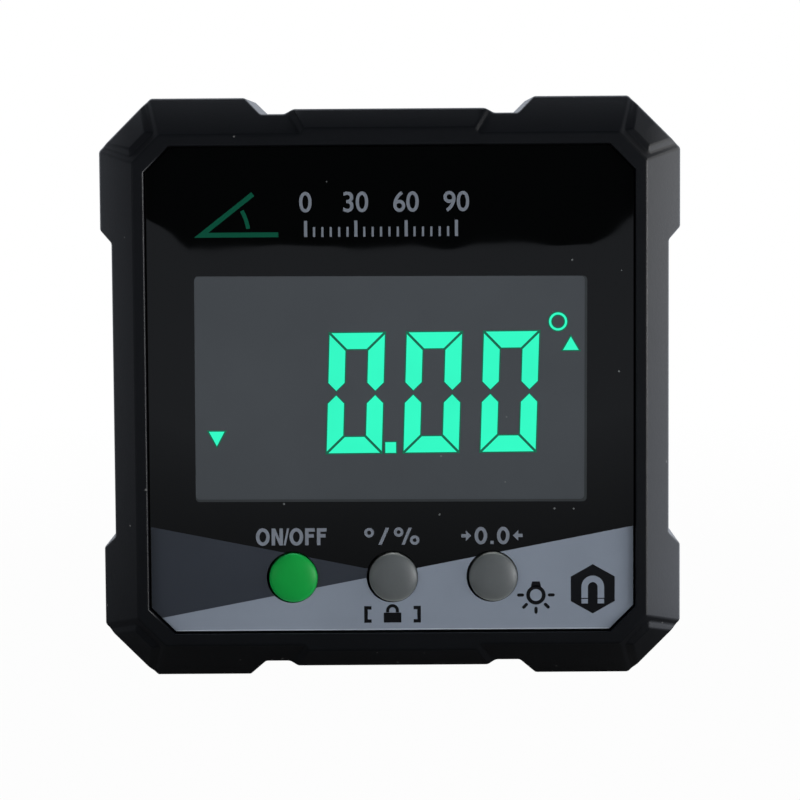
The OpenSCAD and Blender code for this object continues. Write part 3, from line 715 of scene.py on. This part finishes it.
def barLoop(x0, y0, x1, y1, stroke):
    # a straight stroke whose ends are cut level
    half = stroke / 2
    if abs(y1 - y0) < 1e-6:
        return [(x0, y0 - half), (x1, y0 - half), (x1, y0 + half), (x0, y0 + half)]
    slope = half * math.hypot(x1 - x0, y1 - y0) / abs(y1 - y0)
    return [(x0 - slope, y0), (x0 + slope, y0), (x1 + slope, y1), (x1 - slope, y1)]


def letterN(x, y, width, high, stroke):
    low = y - high / 2
    top = y + high / 2
    right = x + width
    return [(x, low), (x, top), (x + stroke * 1.05, top), (right - stroke, low + stroke * 1.9),
            (right - stroke, top), (right, top), (right, low), (right - stroke * 1.05, low),
            (x + stroke, top - stroke * 1.9), (x + stroke, low)]


def letterF(x, y, width, high, stroke):
    low = y - high / 2
    top = y + high / 2
    armTop = y + stroke * 0.75
    armLow = y - stroke * 0.25
    armEnd = x + width * 0.9
    stem = x + stroke
    return [(x, low), (x, top), (x + width, top), (x + width, top - stroke), (stem, top - stroke),
            (stem, armTop), (armEnd, armTop), (armEnd, armLow), (stem, armLow), (stem, low)]


def shapesOf(name, groups, bottom, top):
    # every group of loops is filled by itself, then all are joined
    return joinMeshes(name, [flatShape(name, loops, bottom, top) for loops in groups])


def arrowLoop(x, y, way):
    tip = x + legend["arrowLong"] * way
    tail = x - legend["arrowLong"] * way
    neck = x - legend["headBack"] * way
    head = legend["arrowHead"]
    shaft = legend["arrowShaft"]
    return [(tip, y), (neck, y + head), (neck, y + shaft), (tail, y + shaft), (tail, y - shaft),
            (neck, y - shaft), (neck, y - head)]


def legendGroups():
    y = legend["row"]
    high = legend["high"]
    stroke = legend["stroke"]
    tall = high + legend["overshoot"]
    low = y - high / 2
    top = low + high
    ring = legend["percentRing"]
    thin = legend["ringStroke"]
    lift = legend["ringLift"]
    # ON/OFF
    x = legend["onOffAt"]
    groups = [ovalLoops(x + place, y, legend["roundWide"], tall, stroke) for place in (0, 3.46)]
    groups += [[letterN(x + 1.62, y, legend["letterN"], high, stroke)],
               [barLoop(x + 2.95, low, x + 3.33, top, 0.22)]]
    groups += [[letterF(x + place, y, legend["letterF"], high, stroke)] for place in (5.07, 6.28)]
    # degree and percent
    x = legend["unitsAt"]
    degree = legend["degreeRing"]
    groups += [ovalLoops(x, y + 0.38, degree, degree, thin), [barLoop(x + 1.62, low, x + 2.4, top, 0.32)],
               ovalLoops(x + 3.05, y + lift, ring, ring, thin), [barLoop(x + 4.0, low, x + 4.74, top, 0.3)],
               ovalLoops(x + 4.7, y - lift, ring, ring, thin)]
    # 0.0 between two arrows
    x = legend["zeroAt"]
    point = legend["point"]
    groups += [ovalLoops(x + place, y, legend["zeroWide"], tall, stroke) for place in (0, 2.3)]
    groups += [[barLoop(x + 1.63, low + point / 2, x + 1.63 + point, low + point / 2, point)],
               [arrowLoop(x - 0.85, y, 1)], [arrowLoop(x + 4.45, y, -1)]]
    return groups


addPrintOrPaintedLight("legends", shapesOf("legends", legendGroups(), 0, layer), legendPrint)

# Lock sign between two brackets
lock = {"x": 0.0, "y": -23.2, "width": 1.8, "body": 1.05, "foot": 0.85, "shackle": 0.5, "wire": 0.16,
        "leg": 0.2, "bar": 0.36, "bracket": 2.92, "arm": 0.75, "half": 0.87}


def lockLoops(x, y):
    half = lock["width"] / 2
    low = y - lock["foot"]
    top = low + lock["body"]
    wide = lock["shackle"] + lock["wire"]
    slim = lock["shackle"] - lock["wire"]
    bend = (x, top + lock["leg"])
    shackle = [(x + wide, top)] + arcPoints(bend, wide, 0, 180, 14) + [(x - wide, top), (x - slim, top)]
    shackle += arcPoints(bend, slim, 180, 0, 14) + [(x + slim, top)]
    base = [(x - half, low), (x + half, low), (x + half, top - 0.02), (x - half, top - 0.02)]
    loops = [base, shackle]
    for side in (-1, 1):
        far = x + side * lock["bracket"]
        near = far - side * lock["arm"]
        inner = far - side * lock["bar"]
        high = lock["half"]
        slot = high - lock["bar"]
        loops.append([(near, y + high), (far, y + high), (far, y - high), (near, y - high),
                      (near, y - slot), (inner, y - slot), (inner, y + slot), (near, y + slot)])
    return loops


lockSign = shapesOf("lockSign", [[loop] for loop in lockLoops(lock["x"], lock["y"])], layer, 2 * layer)

# Lamp sign: a ring with a cap above it and short rays
lamp = {"x": 14.8, "y": -21.28, "outer": 1.0, "inner": 0.62, "rayFrom": 1.22, "rayTo": 1.95, "ray": 0.33,
        "neckUp": 0.86, "neck": ((0.52, 0), (0.48, 0.22), (0.38, 0.55))}


def stadium(x0, x1, y, width):
    half = width / 2
    return arcPoints((x1 - half, y), half, -90, 90, 6) + arcPoints((x0 + half, y), half, 90, 270, 6)


lampMiddle = (lamp["x"], lamp["y"])
bulb = flatShape("bulb", [fullCircle(lampMiddle, lamp["outer"]), fullCircle(lampMiddle, lamp["inner"])],
                 layer, 2 * layer)
neckLow = lamp["y"] + lamp["neckUp"]
neckLoop = [(lamp["x"] + half, neckLow + up) for half, up in lamp["neck"]]
neckLoop += [(lamp["x"] - half, neckLow + up) for half, up in reversed(lamp["neck"])]
neck = flatShape("neck", [neckLoop], layer, 2 * layer)
ray = flatShape("ray", [stadium(lamp["rayFrom"], lamp["rayTo"], 0, lamp["ray"])], layer, 2 * layer)
rays = grow("rays", ray, fanTree("lampRays", darkPrint),
            {"Count": 5, "Step": math.radians(45), "Start": math.radians(180)})
moved(rays, *lampMiddle)

# Magnet sign: a horseshoe in a six-sided field
magnetSign = {"x": 20.66, "y": -20.67, "radius": 2.56, "width": 4.52, "outer": 1.17, "inner": 0.5,
              "bend": 0.2, "leg": 0.95, "tipFrom": 0.1, "tipTo": 0.58}
hexagon = []
for x, y in ((0, 1), (-1, 0.5), (-1, -0.5), (0, -1), (1, -0.5), (1, 0.5)):
    hexagon.append((magnetSign["x"] + x * magnetSign["width"] / 2,
                    magnetSign["y"] + y * magnetSign["radius"]))
hexField = flatShape("hexField", [hexagon], layer, 2 * layer)
addPrintOrPaintedLight("darkSigns", joinMeshes("darkSigns", [lockSign, bulb, neck, rays, hexField]), darkPrint)

bend = (magnetSign["x"], magnetSign["y"] + magnetSign["bend"])
outer = magnetSign["outer"]
inner = magnetSign["inner"]
legLow = magnetSign["y"] - magnetSign["leg"]
shoe = arcPoints(bend, outer, 0, 180, 20) + [(bend[0] - outer, legLow), (bend[0] - inner, legLow)]
shoe += arcPoints(bend, inner, 180, 0, 20) + [(bend[0] + inner, legLow), (bend[0] + outer, legLow)]
tipTop = legLow - magnetSign["tipFrom"]
tipLow = legLow - magnetSign["tipTo"]
poleTips = []
for side in (-1, 1):
    near = bend[0] + side * inner
    far = bend[0] + side * outer
    poleTips.append([(near, tipTop), (far, tipTop), (far, tipLow), (near, tipLow)])
addPrintOrPaintedLight("magnetSign", flatShape("magnetSign", [shoe] + poleTips, 2 * layer, 3 * layer), greyPrint)

# Heading: a green angle sign and a short scale of degrees
heading = {"left": -20.0, "low": 15.75, "height": 4.6, "foot": 8.6, "stroke": 0.5, "angle": 38,
           "arcOut": 5.8, "arcIn": 5.4, "arcFrom": 9, "arcTo": 29}
degrees = {"left": -8.6, "long": 15.4, "fineCount": 19, "fineHalf": 0.11, "fineHigh": 1.0, "longHalf": 0.16,
           "longHigh": 1.65, "longTop": 1.6, "figures": ("0", "30", "60", "90"), "figureHigh": 2.1,
           "figureUp": 3.55, "weight": 0.012, "squeeze": 0.95}
foot = (heading["left"], heading["low"])
stroke = heading["stroke"]
armTurn = math.radians(heading["angle"])
along = (math.cos(armTurn), math.sin(armTurn))
armLong = heading["height"] / along[1]
tip = (foot[0] + along[0] * armLong, foot[1] + along[1] * armLong)
footEnd = foot[0] + heading["foot"]
angleLoop = [foot, (footEnd, foot[1]), (footEnd, foot[1] + stroke),
             (foot[0] + stroke / math.tan(armTurn / 2), foot[1] + stroke),
             (tip[0] + stroke * along[1], tip[1] - stroke * along[0]), tip]
arcLoop = arcPoints(foot, heading["arcOut"], heading["arcFrom"], heading["arcTo"], 14)
arcLoop += arcPoints(foot, heading["arcIn"], heading["arcTo"], heading["arcFrom"], 14)
addPrintOrPaintedLight("angleSign", shapesOf("angleSign", [[angleLoop], [arcLoop]], 0, layer), greenPrint)


def tickRow(name, half, high, top, count):
    tick = flatShape(name, [[(-half, 0), (half, 0), (half, high), (-half, high)]], 0, top)
    row = grow(name + "Row", tick, rowTree(name + "Tree", legendPrint),
               {"Count": count, "Pitch": degrees["long"] / (count - 1)})
    return moved(row, degrees["left"], heading["low"])


# the long ticks stand a little higher than the fine ones that they cover
figureCount = len(degrees["figures"])
scaleMarks = [tickRow("fineTick", degrees["fineHalf"], degrees["fineHigh"], layer, degrees["fineCount"]),
              tickRow("longTick", degrees["longHalf"], degrees["longHigh"],
                      degrees["longTop"] * layer, figureCount)]
for place, words in enumerate(degrees["figures"]):
    figure = flatText("figure" + words, words, degrees["figureHigh"], 0, layer, degrees["weight"],
                      degrees["squeeze"])
    scaleMarks.append(moved(figure, degrees["left"] + place * degrees["long"] / (figureCount - 1),
                            heading["low"] + degrees["figureUp"]))
addPrintOrPaintedLight("degreeScale", joinMeshes("degreeScale", scaleMarks), legendPrint)
print("panel print made")

# Display: the window's dark rim, bare on the right and bottom as painted shade, and its field, then lit
# segments over it, each with a dark edge
display = {"width": 40.2, "height": 23.2, "corner": 0.4, "lift": 0.1, "edge": 0.26, "turn": -0.25}
digit = {"width": 5.65, "height": 12.35, "bar": 1.65, "mitre": 0.18, "tipGap": 0.24, "slant": 0.0375,
         "pitch": 7.9, "left": -6.65, "low": -6.45, "count": 3, "edge": 0.12, "turn": 0.2}
# pointers: middle, base and tip
signSet = {"pointLeft": -0.62, "pointRight": 0.48, "pointHigh": 1.1, "pointerHalf": 0.8,
           "rising": (18.45, 4.02, 5.4), "falling": (-17.92, -4.15, -5.65), "ringAt": (17.15, 6.95),
           "ringOuter": 0.93, "ringInner": 0.70}


def roundedLoop(left, right, low, top, radius):
    loop = arcPoints((right - radius, top - radius), radius, 0, 90, 5)
    loop += arcPoints((left + radius, top - radius), radius, 90, 180, 5)
    loop += arcPoints((left + radius, low + radius), radius, 180, 270, 5)
    return loop + arcPoints((right - radius, low + radius), radius, 270, 360, 5)


def slanted(loop):
    return [(x + digit["slant"] * y, y) for x, y in loop]


def noughtLoops():
    w = digit["width"]
    h = digit["height"]
    t = digit["bar"]
    a = digit["mitre"]
    tip = h / 2 + digit["tipGap"]
    top = [(a, h), (w - a, h), (w - t - a, h - t), (t + a, h - t)]
    upper = [(0, h - a), (t, h - t - a), (t, tip + t / 2), (t / 2, tip), (0, tip + t / 2)]
    loops = []
    for mirrored in (top, upper, [(w - x, y) for x, y in upper]):
        loops.append(mirrored)
        loops.append([(x, h - y) for x, y in mirrored])
    return [slanted(loop) for loop in loops]


def noughtEdge():
    # the dark field under each half of a nought, a little wider than its segments
    w = digit["width"]
    h = digit["height"]
    t = digit["bar"]
    e = digit["edge"]
    tip = h / 2 + digit["tipGap"]
    shoulder = tip + t / 2
    half = [(-e, shoulder), (t / 2, tip - e), (t + e, shoulder), (t + e, h - t - e),
            (w - t - e, h - t - e), (w - t - e, shoulder), (w - t / 2, tip - e), (w + e, shoulder),
            (w + e, h + e), (-e, h + e)]
    return [slanted(half), slanted([(x, h - y) for x, y in half])]


def pointerLoop(x, base, tip, half, edge):
    # a small triangle, wider by an edge, whose tip points up or down
    way = 1 if tip > base else -1
    reach = 2 * edge
    return [(x, tip + reach * way), (x - (half + reach) * way, base - edge * way),
            (x + (half + reach) * way, base - edge * way)]


def signGroups(edge):
    # decimal point, two pointers and the degree ring, each wider by an edge
    left, right = (signSet["pointLeft"] - edge, signSet["pointRight"] + edge)
    low, top = (digit["low"] - edge, digit["low"] + signSet["pointHigh"] + edge)
    point = [(left, low), (right, low), (right, top), (left, top)]
    ring = [fullCircle(signSet["ringAt"], signSet["ringOuter"] + edge),
            fullCircle(signSet["ringAt"], signSet["ringInner"] - edge)]
    half = signSet["pointerHalf"]
    return [[point], [pointerLoop(*signSet["rising"], half, edge)],
            [pointerLoop(*signSet["falling"], half, edge)], ring]


halfWide = display["width"] / 2
halfHigh = display["height"] / 2
rimLoop = roundedLoop(-halfWide, halfWide, -halfHigh, halfHigh, display["corner"])
# the field leaves the dark rim bare on the right and bottom: painted shade under the window's edge
fieldLoop = roundedLoop(-halfWide, halfWide - display["edge"], display["edge"] - halfHigh, halfHigh,
                        display["corner"])
windowShadeRim = flatShape("windowShadeRim", [rimLoop], 0, layer)
addPrintOrPaintedLight("windowShadeRim", moved(windowShadeRim, 0, display["lift"], display["turn"]), windowShadePaint)
windowField = flatShape("windowField", [fieldLoop], layer, 2 * layer)
addPrintOrPaintedLight("windowField", moved(windowField, 0, display["lift"], display["turn"]), windowGrey)

for name, oneDigit, signEdge, height, material in (
        ("segmentEdges", noughtEdge(), digit["edge"], 2 * layer, segmentEdge),
        ("litSegments", noughtLoops(), 0, 3 * layer, segmentGlow)):
    blank = shapesOf(name + "One", [[loop] for loop in oneDigit], height, height + layer)
    row = grow(name + "Row", blank, rowTree(name + "Tree", material),
               {"Count": digit["count"], "Pitch": digit["pitch"]})
    moved(row, digit["left"], digit["low"], digit["turn"])
    signs = shapesOf(name + "Signs", signGroups(signEdge), height, height + layer)
    addPrintOrPaintedLight(name, joinMeshes(name, [row, signs]), material)
print("display made")

# Battery cells: wrapped steel cans with a band at the plus end
cell = {"bead": 0.35, "nubRadius": 1.9, "nubHigh": 0.8, "bandFrom": 30.5, "steps": 96}


def alongX(way):
    # turns local z to +x or -x
    return Matrix.Rotation(math.radians(90 * way), 4, "Y")


for node, way in (("upper_cell", 1), ("lower_cell", -1)):
    low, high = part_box(node)
    long = (high.x - low.x) / mm
    radius = (high.z - low.z) / 2 / mm
    middle = (low + high) / 2
    start = low.x if way > 0 else high.x
    place = Matrix.Translation((start, middle.y, middle.z)) @ alongX(way)
    bead = cell["bead"]
    beadFall = bead * 0.3
    canEnd = long - cell["nubHigh"]
    nub = cell["nubRadius"]
    # minus end with its groove, wrap, band, then the plus end with its nub
    profile = [(0, 0), (radius - 1.3, 0), (radius - 1.1, 0.12), (radius - 0.8, 0), (radius - bead, 0)]
    profile += [(radius - beadFall, beadFall), (radius, bead), (radius, cell["bandFrom"])]
    profile += [(radius, canEnd - bead), (radius - beadFall, canEnd - beadFall), (radius - bead, canEnd)]
    profile += [(radius - 1.2, canEnd), (radius - 1.4, canEnd - 0.15), (nub + 0.6, canEnd - 0.15)]
    profile += [(nub + 0.1, canEnd - 0.05), (nub, canEnd + 0.1), (nub, long - 0.2), (nub - 0.2, long)]
    profile.append((0, long))
    slots = [2, 2, 2, 2, 0, 0, 0, 1, 1, 1, 1, 2, 2, 2, 2, 2, 2, 2]
    form = lathe(node + "Can", profile, cell["steps"], place @ Matrix.Scale(mm, 4), slots)
    addPiece(node + "Can", form, "case", None, node)
    for material in (cellWrap, cellBand, cellSteel):
        form.materials.append(material)

# Cell springs: conical coils that stand on their plates
spring = {"turns": 3, "wide": 3.0, "narrow": 2.0, "wire": 0.25, "smoothTo": 50}
for node, way in (("upper_spring", 1), ("lower_spring", -1)):
    low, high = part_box(node)
    long = (high.x - low.x) / mm
    start = low.x if way > 0 else high.x
    blank = bpy.data.meshes.new(node + "Blank")
    form = grow(node + "Coil", blank, coilTree(node + "Tree", springSteel),
                {"Turns": spring["turns"], "Wide": spring["wide"], "Narrow": spring["narrow"],
                 "Height": long - 2 * spring["wire"], "Wire": spring["wire"]})
    form.transform(Matrix.Translation((0, 0, spring["wire"])))
    cellLow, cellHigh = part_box(node.replace("spring", "cell"))
    middle = (cellLow + cellHigh) / 2
    form.transform(Matrix.Translation((start, middle.y, middle.z)) @ alongX(way) @ Matrix.Scale(mm, 4))
    smoothShade(form, spring["smoothTo"])
    addPiece(node + "Coil", form, "case", springSteel, node)

# Contact plates, with broken edges
contact = {"edge": 0.06 * mm}
for node in ("positive_contact", "negative_contact", "link_contact"):
    form = roundedCopy(node, contact["edge"], 2, lambda edge: True)
    addPiece(node + "Plate", form, "case", springSteel, node)

# Magnets: discs with a small edge radius and turned faces
magnet = {"edge": 0.25, "steps": 96}
for node in ("left_magnet", "right_magnet"):
    low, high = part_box(node)
    middle = (low + high) / 2
    radius = (high.x - low.x) / 2 / mm
    thick = (high.z - low.z) / mm
    edge = magnet["edge"]
    profile = [(0, 0), (radius * 0.5, 0), (radius - edge, 0)]
    profile += arcPoints((radius - edge, edge), edge, -90, 0, 4)[1:]
    profile += [(radius, thick), (0, thick)]
    form = lathe(node + "Disc", profile, magnet["steps"],
                 Matrix.Translation((middle.x, middle.y, low.z)) @ Matrix.Scale(mm, 4))
    addPiece(node + "Disc", form, "case", magnetNickel, node)

# Case screws: one is taken from the CAD group and repeated at the four corners
screw = {"edge": 0.07 * mm}
screwLow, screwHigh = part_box("case_screws")
screwMiddle = (screwLow + screwHigh) / 2


def oneScrew():
    work = bmesh.new()
    work.from_mesh(roundedCopy("case_screws", screw["edge"], 2, lambda edge: True))
    others = [v for v in work.verts if v.co.x < screwMiddle.x or v.co.z < screwMiddle.z]
    bmesh.ops.delete(work, geom=others, context="VERTS")
    xs = [v.co.x for v in work.verts]
    zs = [v.co.z for v in work.verts]
    middle = Vector(((max(xs) + min(xs)) / 2, 0, (max(zs) + min(zs)) / 2))
    mesh = meshFrom(work, "oneScrew")
    mesh.transform(faceTurn.inverted() @ Matrix.Translation(-middle))
    return mesh, 2 * (middle.x - screwMiddle.x)


screwForm, screwSpread = oneScrew()
screws = grow("caseScrews", screwForm, cornerTree("screwCorners", screwSteel), {"Spread": screwSpread})
screws.transform(Matrix.Translation((screwMiddle.x, 0, screwMiddle.z)) @ faceTurn)
smoothShade(screws, rounding["smoothTo"])
addPiece("caseScrews", screws, "case", screwSteel, "case_screws")
print("cells, springs, contacts, magnets and screws made")

# Floor, light and camera
surround = {"base": 0.02, "behind": 1.0, "behindFade": (0.4, 0.65), "left": 0.07, "leftFade": (-0.75, -0.2),
            "ring": 0.15, "ringInner": (-0.9, -0.78), "ringOuter": (-0.7, -0.5), "cool": (0.92, 0.98, 1.10)}
studio = {"front": -1.57, "back": 3.0, "side": 3.0, "tone": 0.16, "nearWhite": 0.98,
          "whiteFade": (0.09, 0.30), "mirrorFar": 0.19, "mirrorFade": (0.03, 0.3), "mirrorPower": 1.35,
          "rightFade": (0.035, 0.06), "besideFade": (-0.12, -0.03)}


def floorMaterial():
    # white to the camera, dull to other light, and in mirrors a painted glow: painted shade that darkens it
    # near the object, and a painted bright patch on the right
    material, tree, shader = newMaterial("paleFloor")
    tree.nodes.remove(shader)
    matt, white, mix = addNodes(tree, "ShaderNodeBsdfDiffuse", "ShaderNodeEmission", "ShaderNodeMixShader")
    path, coords, split, distance = addNodes(tree, "ShaderNodeLightPath", "ShaderNodeTexCoord",
                                             "ShaderNodeSeparateXYZ", "ShaderNodeVectorMath")
    distance.operation = "LENGTH"
    wire(tree, (coords, "Object", distance, 0), (coords, "Object", split, "Vector"),
         (matt, "BSDF", mix, 1), (white, "Emission", mix, 2),
         (mix, "Shader", tree.nodes["Material Output"], "Surface"))
    tone = (studio["tone"],) * 3
    tree.links.new(twoTone(tree, objectNoise(tree, 3, 2), tone, shade(tone, 1.03)), matt.inputs["Color"])
    away = distance.outputs["Value"]
    # painted shade in mirrors: no glow within 3 cm of the object, rising farther out; painted light on the
    # right
    around = spread(tree, away, 0, studio["mirrorFar"], *studio["mirrorFade"])
    paintedRightLight = spread(tree, split.outputs["X"], 0, 1, *studio["rightFade"])
    beside = spread(tree, split.outputs["Y"], 0, 1, *studio["besideFade"])
    paintedMirrorGlow = combine(tree, "MAXIMUM", around, combine(tree, "MULTIPLY", paintedRightLight, beside))
    mirrored = combine(tree, "MULTIPLY", path.outputs["Is Glossy Ray"], paintedMirrorGlow)
    share = spread(tree, away, studio["nearWhite"], 1, *studio["whiteFade"])
    seen = combine(tree, "MULTIPLY", share, path.outputs["Is Camera Ray"])
    tree.links.new(combine(tree, "ADD", seen, mirrored), mix.inputs["Fac"])
    mirrorTint = shade(surround["cool"], studio["mirrorPower"])
    tree.links.new(blend(tree, path.outputs["Is Camera Ray"], mirrorTint, (1, 1, 1)), white.inputs["Color"])
    return material


side = studio["side"]
floorCorners = [(-side, studio["front"], 0), (side, studio["front"], 0), (side, studio["back"], 0),
                (-side, studio["back"], 0)]
floorMesh = bpy.data.meshes.new("floor")
floorMesh.from_pydata(floorCorners, [], [(0, 1, 2, 3)])
floorMesh.materials.append(floorMaterial())
floor = linked("floor", floorMesh)


def studioWorld():
    # dark ahead but for a faint ring round the view, a little light on the left, white behind
    world = bpy.data.worlds.new("studio")
    scene.world = world
    world.use_nodes = True
    tree = world.node_tree
    background = tree.nodes["Background"]
    path, coords, split, strength = addNodes(tree, "ShaderNodeLightPath", "ShaderNodeTexCoord",
                                             "ShaderNodeSeparateXYZ", "ShaderNodeMix")
    wire(tree, (coords, "Generated", split, "Vector"))
    depth = split.outputs["Y"]
    behind = spread(tree, depth, surround["base"], surround["behind"], *surround["behindFade"])
    left = spread(tree, split.outputs["X"], surround["left"], 0, *surround["leftFade"])
    ring = combine(tree, "MINIMUM", spread(tree, depth, 0, surround["ring"], *surround["ringInner"]),
                   spread(tree, depth, surround["ring"], 0, *surround["ringOuter"]))
    light = combine(tree, "ADD", combine(tree, "ADD", behind, left), ring)
    seen = combine(tree, "MAXIMUM", path.outputs["Is Camera Ray"], path.outputs["Is Transmission Ray"])
    strength.data_type = "FLOAT"
    setInputs(strength, {"B": 1})
    tree.links.new(seen, strength.inputs["Factor"])
    tree.links.new(light, strength.inputs["A"])
    tree.links.new(strength.outputs["Result"], background.inputs["Strength"])
    tree.links.new(blend(tree, seen, surround["cool"], (1, 1, 1)), background.inputs["Color"])


studioWorld()

lampAim = Vector((0, 0, 0.03))
lamps = {
    "rightBox": {"kind": "AREA", "at": (0.62, 0.10, 0.16), "wide": 0.7, "high": 0.5, "power": 1.4},
    "rightStrip": {"kind": "AREA", "at": (0.53, -0.28, 0.035), "wide": 0.45, "high": 0.07, "power": 1.3},
    "rightKey": {"kind": "SUN", "at": (0.88, -0.47, 0.03), "soft": 55, "power": 3.8},
    "leftKey": {"kind": "SUN", "at": (-0.84, -0.54, 0.03), "soft": 40, "power": 3.35},
}
for name, lampSet in lamps.items():
    data = bpy.data.lights.new(name, lampSet["kind"])
    if lampSet["kind"] == "AREA":
        data.shape = "RECTANGLE"
        data.size = lampSet["wide"]
        data.size_y = lampSet["high"]
    else:
        data.angle = math.radians(lampSet["soft"])
    data.energy = lampSet["power"]
    light = linked(name, data)
    light.location = lampSet["at"]
    light.rotation_euler = (lampAim - light.location).to_track_quat("-Z", "Y").to_euler()
    light.visible_camera = False
    light.visible_glossy = lampSet["kind"] == "AREA"  # the keys leave no glare

view = {"at": (0.00167, -0.30876, 0.05333), "yaw": -0.146, "pitch": -4.709, "roll": -0.391,
        "lens": 130.07}
yaw = math.radians(view["yaw"])
pitch = math.radians(view["pitch"])
forward = Vector((math.sin(yaw) * math.cos(pitch), math.cos(yaw) * math.cos(pitch), math.sin(pitch)))
turn = forward.to_track_quat("-Z", "Y") @ Quaternion((0, 0, 1), math.radians(view["roll"]))
cameraData = bpy.data.cameras.new("camera")
cameraData.lens = view["lens"]
cameraData.sensor_width = 36
cameraData.clip_start = 0.01
camera = linked("camera", cameraData)
camera.location = view["at"]
camera.rotation_euler = turn.to_euler()
scene.camera = camera
scene.view_settings.view_transform = "Standard"
print("stage, light and camera set")
